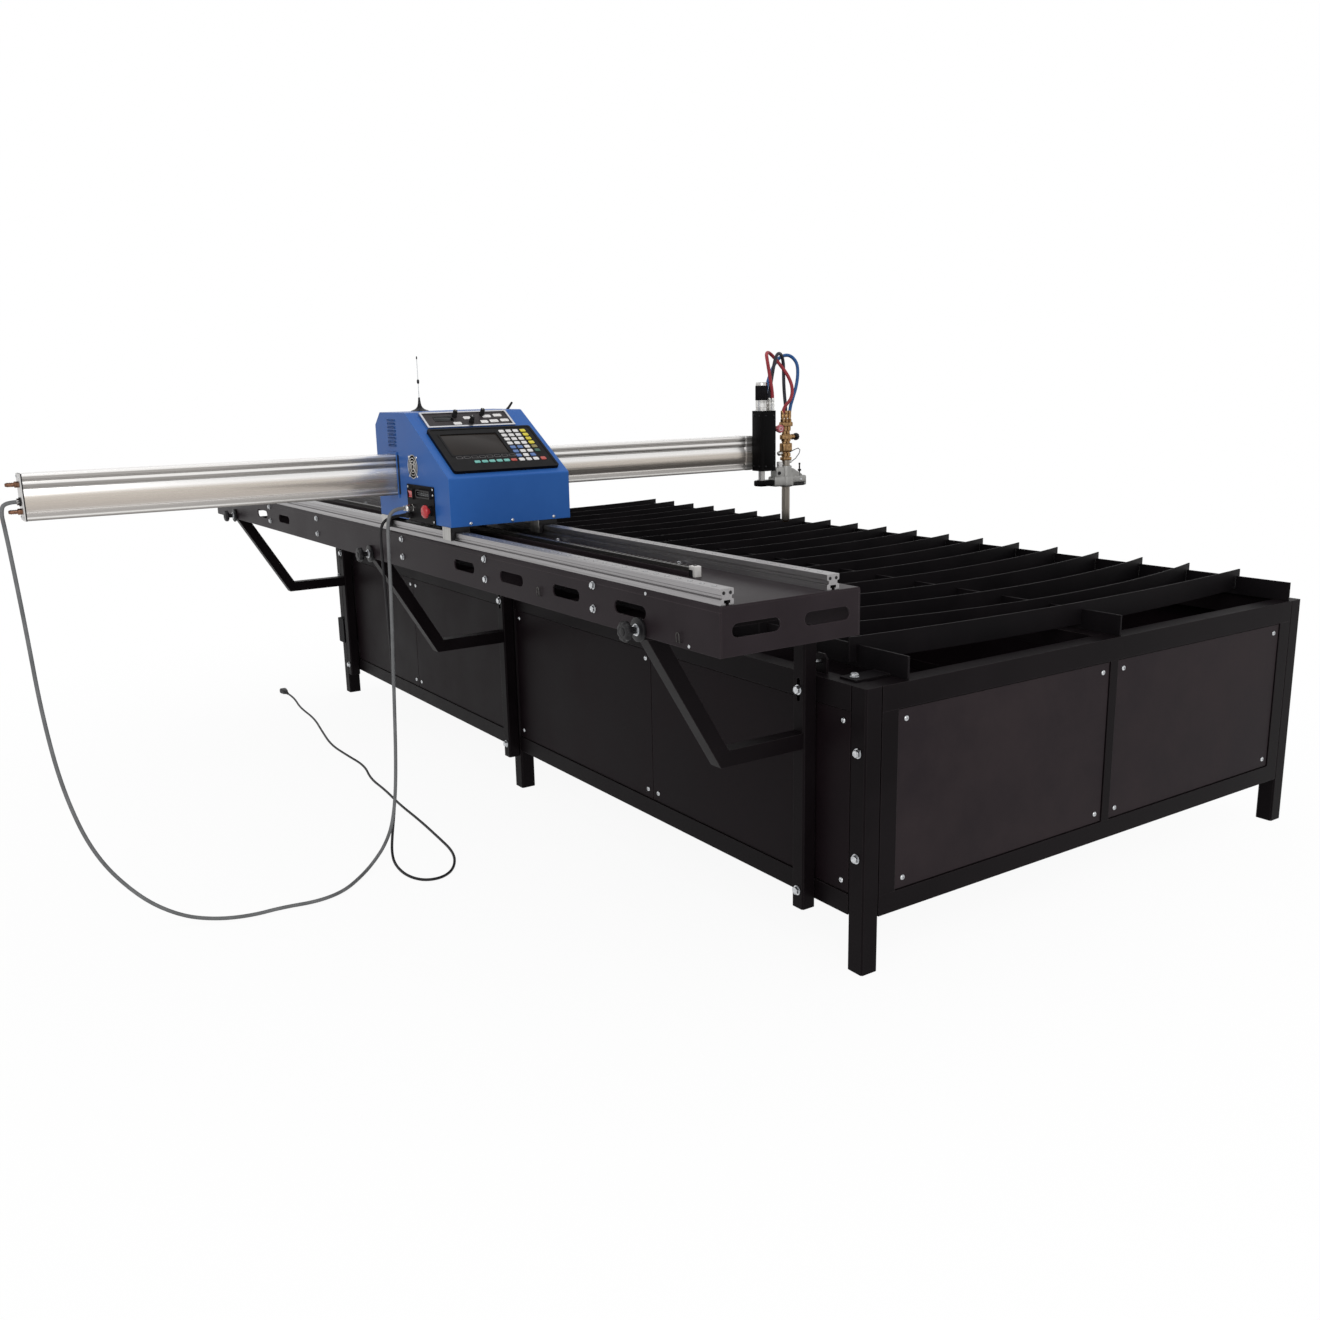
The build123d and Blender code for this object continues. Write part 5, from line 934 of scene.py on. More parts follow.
# Stop button
# A red moulded mushroom button over a bright collar. Its stem slides into the plate against a spring, and the
# head is domed to take the palm.
button_seat = (506.0, plate_face, 1021.0)
button = bmesh.new()
turned(button, ((8.0, -3.0), (8.0, 15.0), (16.6, 15.2), (18.0, 16.4), (18.0, 19.0), (17.2, 22.0), (15.0, 24.6),
                (11.0, 26.2), (6.0, 26.9), (0.0, 27.0)), button_seat, (0, -1, 0), sides=48)
build("stop_button_head", button, red_plastic, "stop_button", ["stop_button"])

# Cooling fan
# A moulded fan behind a round hole: a square housing with four spokes, a hub with seven twisted blades, and a
# guard of bright bent wire screwed over it.
fan_middle = (391.0, 1135.0)


def fan_point(radius, angle, y):
    """Point at an angle round the fan's axis."""
    return Vector((fan_middle[0] + radius * math.cos(angle), y, fan_middle[1] + radius * math.sin(angle)))


turns = [2 * math.pi * step / 48 for step in range(48)]
guard_y, guard_wire, guard_rings, guard_screws = casing_low.y - 1.2, 1.1, (8.0, 16.0, 24.0, 32.0), 37.0
guard = bmesh.new()
for radius in guard_rings:
    wire(guard, [fan_point(radius, angle, guard_y) for angle in turns], guard_wire, closed=True)
for angle in (math.pi / 4 + math.pi / 2 * quarter for quarter in range(4)):
    wire(guard, [fan_point(radius, angle, guard_y + 0.6) for radius in (6.0, 20.0, 36.0)], guard_wire)
    small_screw(guard, fan_point(guard_screws, angle, casing_low.y), (0, -1, 0))
build("fan_wire_guard", guard, nickel, "carriage", ["fan_guard"])
fan_hole, housing_size, housing_front, housing_deep = 33.0, (72.0, 72.0), casing_low.y + 2.5, 20.0
spoke_radius, spoke_back, spoke_turn, spoke_step = 1.5, 1.6, 0.3, 1.57
housing = bmesh.new()
sheet(housing, [rounded(fan_middle, housing_size, 6.0), [fan_point(fan_hole, angle, 0).xz for angle in turns]],
      housing_deep, upright((0, housing_front + housing_deep / 2, 0), (1, 0, 0)))
for angle in (spoke_turn + spoke_step * spoke for spoke in range(4)):
    wire(housing, [fan_point(radius, angle, housing_front + housing_deep - spoke_back)
                   for radius in (0, fan_hole + 1)], spoke_radius)
build("fan_housing", housing, black_abs, "carriage")
hub_front, hub_deep, blade_count, blade_sheet = housing_front + 1.0, 15.6, 7, 1.2
blade_root, blade_length, blade_width, blade_sweep, blade_pitch, blade_camber = 11.5, 20.1, 0.62, 0.1, 10.5, 0.8
rotor = bmesh.new()
turned(rotor, ((11.0, 0.0), (12.0, 1.2), (12.0, hub_deep)), fan_point(0, 0, hub_front), (0, 1, 0), sides=36)
for angle in (2 * math.pi * blade / blade_count for blade in range(blade_count)):
    leaf(rotor, [[fan_point(blade_root + blade_length * out,
                            angle + (chord - 0.5) * (blade_width - blade_sweep * out) + blade_sweep * out,
                            hub_front + 1.5 + blade_pitch * chord + blade_camber * math.sin(math.pi * chord))
                  for chord in quarters] for out in quarters], blade_sheet)
# Glass-filled fan plastic: a dull mid grey.
fan_plastic = moulded("grey_fan_plastic", "#4A4A4C", "#5A5A5C", 0.4)
build("fan_blades", rotor, fan_plastic, "fan", ["fan_rotor"])

# Aerials
# A whip aerial on a flared rubber foot, its mast of bright wire with a coil bead, and a short leaning stub
# at the roof's inner edge.
whip_x, whip_y, whip_height, roof = 177.0, -354.0, 156.0, casing_high.z
stub_foot, stub_lean = (300.0, -130.0, roof - 1), (0, 17, 21)
aerial_foot = bmesh.new()
turned(aerial_foot, ((26.0, 0.0), (25.6, 1.4), (20.6, 3.0), (13.6, 6.0), (9.2, 10.0), (6.2, 15.0), (4.4, 22.0),
                     (3.2, 32.0), (2.8, 38.0), (1.5, 39.5)), (whip_x, whip_y, roof), (0, 0, 1), sides=36)
turned(aerial_foot, ((1.3, 0.0), (2.6, 1.0), (3.4, 3.0), (3.6, 8.0), (3.2, 11.0), (1.3, 12.5)),
       (whip_x, whip_y, roof + whip_height * 0.5), (0, 0, 1))
turned(aerial_foot, ((1.2, 0.0), (1.8, 1.0), (1.8, 7.0), (1.0, 8.0)), (whip_x, whip_y, roof + whip_height - 8),
       (0, 0, 1), sides=16)
turned(aerial_foot, ((4.6, 0.0), (4.6, 4.0), (3.6, 5.5), (3.3, 24.0), (2.2, 27.0)), stub_foot, stub_lean)
build("aerial_rubber", aerial_foot, black_abs, "carriage", ["aerials"])
mast = bmesh.new()
turned(mast, ((1.2, 30.0), (1.0, whip_height - 4)), (whip_x, whip_y, roof), (0, 0, 1), sides=16)
build("aerial_mast", mast, zinc, "carriage")

# Beam
# A long hollow aluminium extrusion: three grooves part its front into bands, and the wide band is crowned.
# Its torch end is a separate block, joined behind a narrow dark gasket.
beam_low, beam_high = solids_of("beam")[0]
bands = ((0.0, 18.0, 0.4), (22.0, 78.0, 5.0), (82.0, 97.0, 0.6), (101.0, 114.0, 0.4))
groove_depth, beam_seam, seam_gap, band_steps, band_edge = 7.5, 778.0, 1.5, 12, 0.8
front = []
for low, high, crown in bands:
    front.append((beam_high.x - band_edge - crown, low))
    for share in (step / band_steps for step in range(band_steps + 1)):
        front.append((beam_high.x - crown * (2 * share - 1) ** 2,
                      low + band_edge + (high - low - 2 * band_edge) * share))
    front.append((beam_high.x - band_edge - crown, high))
    if high < bands[-1][1]:
        front += [(beam_high.x - groove_depth, high + rise) for rise in (0.5, 3.5)]
section = [(beam_low.x, 0.0), *front, (beam_low.x, beam_high.z - beam_low.z)]
beam_bar = bmesh.new()
skin(beam_bar, [[beam_bar.verts.new((x, y, beam_low.z + z)) for x, z in section] for y in (beam_low.y, beam_seam)])
# Drawn aluminium under a clear anodised skin: silver, with pale and grey bands painted up its height, painted
# reflections of the studio, on the bar and its end block.
beam_metal = extruded("anodised_beam_aluminium", "#FBFAF9", "#F1EFED", 0.17, 1, metallic=0.72, ridge=0.03)
shader = beam_metal.node_tree.nodes["Principled BSDF"]
place = add(beam_metal, "SeparateXYZ", {0: add(beam_metal, "TexCoord").outputs["Object"]})
level = add(beam_metal, "MapRange", {"Value": place.outputs["Z"], "From Min": beam_low.z * mm,
                                     "From Max": beam_high.z * mm})
# Painted reflection: this ramp lightens and darkens the silver in bands by height, with white lines for the
# highlights.
painted_reflection_ramp = add(beam_metal, "ValToRGB", {0: level})
painted_reflection_bands = ((0.035, "#A8A5A2"), (0.06, "#F8F7F5"), (0.09, "#ACA9A6"), (0.15, "#ACA9A6"), (0.185, "#F0EDEA"),
         (0.23, "#BFB8B1"), (0.36, "#C8C0B7"), (0.5, "#D0C9C0"), (0.58, "#FCFBFA"), (0.675, "#FDFDFC"),
         (0.7, "#9C9996"), (0.77, "#A09D9A"), (0.795, "#F8F7F6"), (0.83, "#F0EFED"), (0.855, "#AAA7A4"),
         (0.94, "#AFACA9"), (0.96, "#FCFBFA"))
for stop, tone in zip(painted_reflection_ramp.color_ramp.elements, ("#6E6B68", "#F2F1F0")):
    stop.color = paint(tone)
for rise, tone in painted_reflection_bands:
    painted_reflection_ramp.color_ramp.elements.new(rise).color = paint(tone)
drawn_tone = shader.inputs["Base Color"].links[0].from_socket
connect(shader, {"Base Color": add(beam_metal, "Mix", {0: 1.0, 6: drawn_tone, 7: painted_reflection_ramp}, data_type="RGBA",
                                   blend_type="MULTIPLY")})
build("beam_extrusion", beam_bar, beam_metal, "beam", ["beam"], crease=20)
lifter_low, lifter_high = (275.0, 804.0, 1047.0), (335.0, 866.0, 1248.0)
beam_end, seam = bmesh.new(), bmesh.new()
slab(beam_end, (beam_low.x - 0.5, beam_seam + seam_gap, beam_low.z - 0.5),
     (beam_high.x + 0.5, lifter_low[1] - 0.3, beam_high.z + 0.5), 1.0)
slab(beam_end, (beam_low.x, lifter_low[1] - 1, beam_low.z),
     (beam_high.x - 0.3, beam_high.y - 0.2, beam_high.z), 0.8)
build("beam_end_block", beam_end, beam_metal, "beam")
slab(seam, (beam_low.x + 3, beam_seam - 2, beam_low.z + 3),
     (beam_high.x - 6, beam_seam + seam_gap + 2, beam_high.z - 3), 0.5)
build("beam_seam_gasket", seam, collar_plastic, "beam")
coat(rack_steel, "beam_rack")

# Beam's ends
# Milled end plates on black gaskets, held by four screws; the outer one carries the gland of the grey cable
# and two bronze hose nipples.
# Milled plate: light grey, with upright tool lines.
coat(extruded("milled_end_plate", "#C9C7C5", "#B3B1AF", 0.3, 2), "beam_end_plate")
gasket_sheet, gasket_proud, plate_thickness = 3.0, 0.5, 6.0
gaskets, end_screws = bmesh.new(), bmesh.new()
for low, high in solids_of("beam_end_plate"):
    y = high.y - gasket_sheet if high.y < 0 else low.y
    slab(gaskets, (low.x - gasket_proud, y, low.z - gasket_proud),
         (high.x + gasket_proud, y + gasket_sheet, high.z + gasket_proud), 0.3)
build("end_plate_gaskets", gaskets, black_abs, "beam")
plate_y = beam_low.y - plate_thickness
for x in (beam_low.x + screw_inset, beam_high.x - screw_inset):
    for z in (beam_low.z + screw_inset, beam_high.z - screw_inset):
        small_screw(end_screws, (x, plate_y, z), (0, -1, 0))
        small_screw(end_screws, (x, beam_high.y + plate_thickness, z), (0, 1, 0))
build("end_plate_screws", end_screws, zinc, "beam")
gland_x, gland_z, nipple_z = 244.0, 1096.0, (1072.0, 1138.0)
cable_gland, nipples = bmesh.new(), bmesh.new()
turned(cable_gland, ((9.4, 0.0, 6), (9.4, 4.0, 6), (8.4, 4.4), (8.4, 8.0), (7.0, 8.8), (5.3, 9.0)),
       (gland_x, plate_y, gland_z), (0, -1, 0), sides=36)
build("beam_cable_gland", cable_gland, black_abs, "beam")
for z in nipple_z:
    turned(nipples, ((7.0, 0.0, 6), (7.0, 9.0, 6), (6.2, 9.8), (5.0, 10.4), (5.0, 13.0), (5.8, 13.4), (4.6, 17.6),
                     (5.8, 18.0), (4.6, 22.2), (5.8, 22.6), (4.2, 29.0), (3.0, 30.0), (2.2, 29.6), (2.2, 20.0),
                     (0, 20.0)), (gland_x, plate_y, z), (0, -1, 0), sides=30)
# Bronze: dull red brown, hardly polished.
bronze = bright_metal("dull_bronze", "#8F6A55", "#5F4538", 0.34, 7.0)
build("gas_nipples_bronze", nipples, bronze, "beam", ["gas_nipples"])

# Lifter
# A narrow housing of folded sheet on the front of the beam's end, coated black and closed by thin covers on
# three sides, each held by small black screws.
# Powder coat: the deepest black of the machine, with a low sheen.
lifter_coat = powder_coat("black_lifter_coat", "#0A090A", "#111010", "#272425", gloss=(0.36, 0.46))
coat(lifter_coat, "lifter_body")
cover_sheet, cover_inset, cover_ease, cover_screw_in = 1.2, (8.0, 7.0, 8.0), 0.4, (15.0, 14.0, 16.0)
covers, cover_screws = bmesh.new(), bmesh.new()
cover_low, cover_high = Vector(lifter_low) + Vector(cover_inset), Vector(lifter_high) - Vector(cover_inset)
slab(covers, (lifter_high[0], *cover_low.yz), (lifter_high[0] + cover_sheet, *cover_high.yz), cover_ease)
for y in (lifter_low[1] - cover_sheet, lifter_high[1]):
    slab(covers, (cover_low.x, y, cover_low.z), (cover_high.x, y + cover_sheet, cover_high.z), cover_ease)
build("lifter_covers", covers, lifter_coat, "beam")
screw_x, screw_y, screw_z = [(low + gap, high - gap)
                             for low, high, gap in zip(lifter_low, lifter_high, cover_screw_in)]
for z in screw_z:
    for y in screw_y:
        small_screw(cover_screws, (lifter_high[0] + cover_sheet, y, z), (1, 0, 0))
    for x in screw_x:
        small_screw(cover_screws, (x, lifter_low[1] - cover_sheet, z), (0, -1, 0))
        small_screw(cover_screws, (x, lifter_high[1] + cover_sheet, z), (0, 1, 0))
build("cover_screws", cover_screws, black_screw, "beam")

# Lift motor
# A round motor standing on the housing's roof: a base and a lid of turned aluminium, and between them a ribbed
# cap that is enamelled black.
lift_x, post_y = 303.0, 826.0
motor_foot = (lift_x, post_y, lifter_high[2])
motor_base, motor_cap = bmesh.new(), bmesh.new()
turned(motor_base, ((20.5, 0.0), (20.5, 3.5), (19.4, 4.0), (19.4, 11.0), (20.1, 11.6), (20.1, 28.6), (19.4, 29.2),
                    (19.4, 30.6), (20.5, 31.2), (20.5, 34.6), (19.8, 35.0)), motor_foot, (0, 0, 1), sides=64)
turned(motor_base, ((19.2, 83.0), (19.2, 91.6), (18.2, 93.4), (16.6, 94.0), (5.0, 94.0), (4.2, 93.2), (0, 93.2)),
       motor_foot, (0, 0, 1), sides=48)
# Turned aluminium: bright silver, with soft upright highlights.
turned_metal = bright_metal("turned_aluminium", "#D9D8D6", "#B2B0AD", 0.2, 14.0)
build("lift_motor_base", motor_base, turned_metal, "beam", ["lifter_motor"])
turned(motor_cap, ((20.4, 35.0), (21.0, 36.0), (21.0, 80.0), (20.4, 82.4), (19.0, 84.0)), motor_foot, (0, 0, 1),
       sides=96, lobes=24, depth=1.5)
build("lift_motor_cap", motor_cap, motor_coat, "beam", crease=45)

# Hose fittings
# Three nickel-plated push-on fittings in a row, screwed into the housing's roof, each with a crimped sleeve
# round its hose.
fitting_row, fitting_y = (289.0, 307.0, 325.0), 856.0
fittings = bmesh.new()
for x in fitting_row:
    for profile in (
            ((6.0, 0.0, 6), (6.0, 10.0, 6), (5.2, 10.6), (5.2, 13.0), (5.9, 13.4, 6), (5.9, 21.0, 6), (5.0, 21.6),
             (5.0, 31.0)),
            ((4.6, 26.0), (5.9, 26.6), (5.9, 29.0), (5.6, 29.6), (5.9, 30.2), (5.9, 40.0), (5.6, 42.0), (4.6, 43.0))):
        turned(fittings, profile, (x, fitting_y, lifter_high[2]), (0, 0, 1))
build("hose_fittings", fittings, nickel, "beam")

# Lift post
# A ground steel post that slides out of the housing, with a collar at its foot, clamped by a screw in the
# black coated bracket that carries the torch.
bracket_low, bracket_high, bracket_half, bracket_end = 994.0, 1014.0, 20.0, 869.0
post, bracket = bmesh.new(), bmesh.new()
for profile in (((11.0, 0.0), (11.0, 143.0)), ((15.0, 0.0), (15.4, 0.4), (15.4, 1.8), (14.6, 2.4), (11.0, 2.4))):
    turned(post, profile, (lift_x, post_y, bracket_high), (0, 0, 1), sides=48)
# Ground steel: clear grey, with fine lines along the post.
post_steel = extruded("ground_post_steel", "#B5B4B2", "#8F8D8A", 0.26, 2)
build("lift_post_shaft", post, post_steel, "torch", ["lift_post"])
slab(bracket, (lift_x - bracket_half, post_y - bracket_half, bracket_low),
     (lift_x + bracket_half, bracket_end, bracket_high), 5.0)
turned(bracket, ((5.6, -0.5), (5.6, 3.0), (4.8, 3.8), (3.2, 3.8, 6), (3.2, 1.4, 6), (0, 1.4)),
       (lift_x + bracket_half, post_y, (bracket_low + bracket_high) / 2), (1, 0, 0))
build("lift_bracket", bracket, lifter_coat, "torch")

# Torch clamp
# A split casting that grips the torch tube: a wide rounded foot, a narrower arm and barrel above it, and two
# ears with a pinch bolt. A set screw sits in the arm, and a pin and a lead clip stand on top.
# Sand-cast aluminium: dull grey, with a fine pitted skin.
cast, shader, where = finish("sand_cast_aluminium", "#9B9A97", 0.5, metallic=0.55)
pits = add(cast, "TexNoise", {"Vector": where, "Scale": 1 / (3.5 * mm), "Detail": 5.0, "Roughness": 0.7})
stain = add(cast, "TexNoise", {"Vector": where, "Scale": 1 / (28 * mm), "Detail": 4.0})
connect(shader, {
    "Base Color": add(cast, "Mix", {0: stain, 6: paint("#8A8986"), 7: paint("#B4B3B0")}, data_type="RGBA"),
    "Normal": add(cast, "Bump", {"Height": pits, "Strength": 0.35, "Distance": 0.5 * mm})})
clamp_foot, clamp_top, torch_y = 987.0, 1059.0, 933.0
foot_top, foot_half, foot_near, foot_far = 1024.0, 21.0, bracket_end + 0.3, 930.0
arm_half, arm_near, arm_far, web_top = 17.0, 878.0, 914.0, 1051.0
ear_root, ear_end, ear_half, slit = torch_y + 14, 1015.0, 19.0, 1.5
clamp = bmesh.new()
slab(clamp, (lift_x - foot_half, foot_near, clamp_foot + 3), (lift_x + foot_half, foot_far, foot_top), 6.0)
slab(clamp, (lift_x - arm_half, arm_near, foot_top - 8), (lift_x + arm_half, arm_far, clamp_top - 4), 4.0)
turned(clamp, ((14.2, 0.0), (20.0, 0.0), (24.4, 1.6), (26.4, 5.0), (26.8, 10.0), (26.8, 31.0), (25.6, 35.0),
               (21.6, 38.0), (20.6, 42.0), (20.6, 68.0), (19.6, 71.0), (17.0, 72.0), (14.2, 72.0), (14.2, 0.0)),
       (lift_x, torch_y, clamp_foot), (0, 0, 1), sides=48, capped=False)
web = [(ear_root, foot_top - 8), (ear_end - 14, foot_top - 8), (ear_end - 16, foot_top + 2),
       (torch_y + 26, web_top - 3), (ear_root, web_top)]
for side in (-1, 1):
    ear = sorted((lift_x + side * slit, lift_x + side * ear_half))
    slab(clamp, (ear[0], ear_root, clamp_foot + 12), (ear[1], ear_end - 3, foot_top - 1), 5.0)
    slab(clamp, (ear[0], ear_end - 12, clamp_foot + 2), (ear[1] - side * 4, ear_end, clamp_foot + 24), 4.0)
    sheet(clamp, [web], 8.0, upright((lift_x + side * 6, 0, 0), (0, 1, 0)))
build("torch_clamp_casting", clamp, cast, "torch", ["torch_clamp"], crease=40)
bolt_y, bolt_z = 987.0, 1011.0
pin_foot, screw_seat = (lift_x + 8, 988.0, foot_top - 4), (lift_x + 18, 889.0, 1036.0)
clamp_bolts, set_screw, clip = bmesh.new(), bmesh.new(), bmesh.new()
turned(clamp_bolts, ((4.0, 0.0), (4.0, 39.6), (3.4, 40.2)), (lift_x - ear_half - 2, bolt_y, bolt_z), (1, 0, 0),
       sides=20)
hex_bolt(clamp_bolts, (lift_x - ear_half, bolt_y, bolt_z), (-1, 0, 0), 14.0, 7.0, 9.0, 1.6)
build("torch_clamp_bolts", clamp_bolts, zinc, "torch")
turned(set_screw, ((6.0, -0.5), (6.0, 2.4), (5.4, 3.0), (3.4, 3.0, 6), (3.4, 0.6, 6), (0, 0.6)), screw_seat,
       (1, 0, 0))
turned(set_screw, ((2.6, 0.0), (2.6, 40.0), (3.4, 40.4), (3.4, 45.0), (2.6, 46.0)), pin_foot, (0, 0, 1), sides=16)
turned(set_screw, ((5.5, 18.0, 6), (5.5, 24.0, 6), (4.6, 24.6)), pin_foot, (0, 0, 1))
slab(set_screw, (lift_x - arm_half, torch_y + 20, clamp_foot + 1),
     (lift_x + arm_half, ear_end - 10, clamp_foot + 13), 3.0)
build("torch_set_screw", set_screw, black_screw, "torch")
clip_y = 900.0
slab(clip, (lift_x - 2, clip_y - 7, clamp_top - 5), (lift_x + 14, clip_y + 7, clamp_top + 15), 2.0)
slab(clip, (lift_x + 3, clip_y - 10, clamp_top + 4), (lift_x + 15, clip_y + 9, clamp_top + 9), 1.5)
build("torch_lead_clip", clip, white_pad, "torch")

# Torch
# A drawn steel tube held in the clamp and dulled brown by heat, with two shallow grooves turned in it and a
# short brass nozzle in its foot.
# Drawn steel: warm grey, browned in long streaks.
torch_steel = extruded("drawn_torch_steel", "#9C958C", "#6E6860", 0.3, 2)
torch_foot = (lift_x, torch_y, 0)
torch_tube, nozzle = bmesh.new(), bmesh.new()
turned(torch_tube, ((11.6, 868.5), (13.2, 869.4), (14.0, 871.5), (14.0, 905.0), (13.4, 905.6), (13.4, 907.4),
                    (14.0, 908.0), (14.0, 978.0), (13.5, 978.6), (13.5, 983.0), (14.0, 983.6), (14.0, 1070.0),
                    (13.2, 1077.0)), torch_foot, (0, 0, 1), sides=56)
build("torch_tube", torch_tube, torch_steel, "torch", ["torch"])
turned(nozzle, ((3.0, 868.0), (2.0, 864.4), (7.4, 864.0), (9.0, 864.8), (10.4, 867.0), (10.8, 868.8),
                (10.8, 869.4)), torch_foot, (0, 0, 1), sides=40)
# Brass: warm yellow brown, turned bright and dulled brown by handling.
brass = bright_metal("tarnished_brass", "#AB8A60", "#72543A", 0.28, 7.0)
build("torch_nozzle", nozzle, brass, "torch")

# Valve body
# Two turned brass columns side by side with hexagon nuts, valve blocks between them, three hose inlets on
# the head, and an arm that carries the fuel valve. Plated plugs and a wire bail are screwed into its sides.
valves, plugs, bail = bmesh.new(), bmesh.new(), bmesh.new()
column_side, inlet_pitch = 8.0, 15.5
for side in (-column_side, column_side):
    turned(valves, ((8.4, 1076.0), (8.4, 1082.0), (7.2, 1083.0), (7.2, 1090.0), (9.6, 1090.6, 6), (9.6, 1101.0, 6),
                    (7.6, 1102.0), (7.6, 1141.0), (9.4, 1142.0, 6), (9.4, 1149.0, 6), (7.4, 1150.0), (7.4, 1163.0),
                    (9.0, 1164.0), (9.0, 1167.0), (7.4, 1168.0), (7.4, 1177.0), (9.6, 1178.0, 6), (9.6, 1193.0, 6),
                    (8.0, 1194.0)), (lift_x, torch_y + side, 0), (0, 0, 1), sides=36)
for half, near, far, low, high, ease in ((11, -18, 18, 1077.2, 1088.0, 2.5), (12, -20, 20, 1106.0, 1136.0, 4.0),
                                         (8, -22, 23, 1148.0, 1164.0, 2.5), (11, -23, 23, 1192.0, 1207.0, 3.0),
                                         (9, -53, -14, 1177.0, 1195.0, 4.0)):
    slab(valves, (lift_x - half, torch_y + near, low), (lift_x + half, torch_y + far, high), ease)
for side in (-inlet_pitch, 0, inlet_pitch):
    turned(valves, ((6.6, 1206.0, 6), (6.6, 1216.0, 6), (5.8, 1216.8), (5.2, 1217.4), (5.2, 1220.0), (6.2, 1220.6),
                    (6.2, 1232.0), (5.8, 1233.0), (6.2, 1234.0), (6.2, 1243.0), (5.6, 1245.0), (4.6, 1245.6)),
           (lift_x, torch_y + side, 0), (0, 0, 1))
fuel_seat, oxygen_seat = (316.0, 889.0, 1186.0), (lift_x, 970.0, 1156.0)
turned(valves, ((8.0, -5.0), (8.0, -0.8), (6.6, 0.0)), fuel_seat, (1, 0, 0), sides=30)
turned(valves, ((8.0, -16.0), (8.0, -13.0), (8.8, -12.0, 6), (8.8, -5.0, 6), (6.6, -4.0), (6.6, 0.0)), oxygen_seat,
       (0, 1, 0), sides=30)
build("torch_valve_body", valves, brass, "torch", ["torch_valves"])
turned(plugs, ((4.0, 0.0), (4.0, 8.0), (7.4, 8.6, 6), (7.4, 16.0, 6), (6.6, 17.0), (5.0, 19.0), (0, 19.6)),
       (lift_x + 4, torch_y - 20, 1102.0), (0, -1, 0), sides=30)
turned(plugs, ((5.0, 0.0), (5.0, 11.0), (4.2, 12.0)), (lift_x, torch_y + 12, 1072.0), (0, 1, 0))
build("torch_port_plugs", plugs, nickel, "torch")
bail_wire = 1.5
bail_bend = ((946, 1102), (972, 1112), (988, 1116), (997, 1110), (993, 1098), (978, 1082), (956, 1070))
wire(bail, [(lift_x, y, z) for y, z in bail_bend], bail_wire)
build("torch_wire_bail", bail, black_screw, "torch")

# Valve knobs
# Lobed moulded knobs pushed on the valve stems: a pink one on the fuel side, a dark one on the oxygen side,
# each with a pale ring let into its cap.
# Moulded nylon: a faded satin pink.
pink_plastic = moulded("pink_valve_plastic", "#C0606A", "#CC7880", 0.4)
for body, node, seat, out, radius, grip_finish, grip_slot in (
        ("fuel_knob", "fuel_valve_knob", fuel_seat, (1, 0, 0), 14.0, pink_plastic, "pink_plastic"),
        ("oxygen_knob", "oxygen_valve_knob", oxygen_seat, (0, 1, 0), 12.5, black_abs, "black_plastic")):
    grip, cap = bmesh.new(), bmesh.new()
    turned(grip, ((3.0, -5.0), (3.0, 0.4), (radius - 3, 0.4), (radius - 0.6, 1.6), (radius, 4.0), (radius, 11.5),
                  (radius - 1, 14.4), (radius - 2.4, 15.2), (8.6, 15.2), (8.4, 14.4), (4.6, 14.4), (4.4, 15.2),
                  (0, 15.4)), seat, out, sides=64, lobes=8, depth=1.4)
    build(body + "_grip", grip, grip_finish, body, [node])
    turned(cap, ((7.0, 14.3), (7.0, 14.9), (4.8, 14.9), (4.8, 14.3)), seat, out, sides=32)
    build(body + "_ring", cap, white_pad, body)


# Cords
# The grey control cable loops over the floor from the carriage to the beam's outer end, and the black
# mains cord runs along the table to its moulded plug. Both are round PVC sheathed leads.
def lay_cord(name, route, diameter, material):
    """Round tube on one smooth line through a route's control points, and the points of that line."""
    line = bpy.data.curves.new(name, "CURVE")
    line.dimensions = "3D"
    line.resolution_u = 10
    spline = line.splines.new("NURBS")
    spline.points.add(len(route) - 1)
    for point, corner in zip(spline.points, route):
        point.co = (*at(*corner), 1.0)
    spline.order_u = 3
    spline.use_endpoint_u = True
    carrier = bpy.data.objects.new(name + "_line", line)
    path = [tuple(vertex.co) for vertex in bpy.data.meshes.new_from_object(carrier).vertices]
    line.bevel_depth = diameter * mm / 2
    line.bevel_resolution = 5
    line.use_fill_caps = True
    mesh = bpy.data.meshes.new_from_object(carrier)
    bpy.data.objects.remove(carrier)
    for face in mesh.polygons:
        face.use_smooth = True
    mesh.materials.clear()
    mesh.materials.append(material)
    piece = bpy.data.objects.new(name + "_sheath", mesh)
    bpy.context.collection.objects.link(piece)
    return piece, path


# Extruded PVC or rubber sheath: satin, with faint scuffs and a drawn unevenness along its length.
sheath = {"roughness": 0.5, "specular": 0.25, "cloud": (45.0, 5.0), "bump": (0.2, 0.4)}
grey_sheath = moulded("grey_pvc_sheath", "#636465", "#767778", grain=3.0, **sheath)
grey_diameter = 10.0
grey_route = (
    (384, -508, 1022), (384, -532, 1022), (384, -554, 1004), (383, -559, 950), (381, -560, 800),
    (380, -571, 530), (379, -583, 250), (379, -602, 120), (382, -632, 56), (400, -680, 16), (450, -735, 6),
    (520, -810, 6), (543, -890, 6), (524, -980, 6), (527, -1064, 6), (498, -1148, 8), (455, -1226, 24),
    (412, -1310, 82), (366, -1395, 200), (330, -1442, 370), (303, -1463, 570), (279, -1470, 790),
    (257, -1478, 965), (247, -1482, 1036), (244, -1485, 1072), (244, -1477, 1096), (244, -1448, 1096))
grey_cable, grey_line = lay_cord("grey_cable", grey_route, grey_diameter, grey_sheath)
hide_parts("grey_cable")
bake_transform(grey_cable)

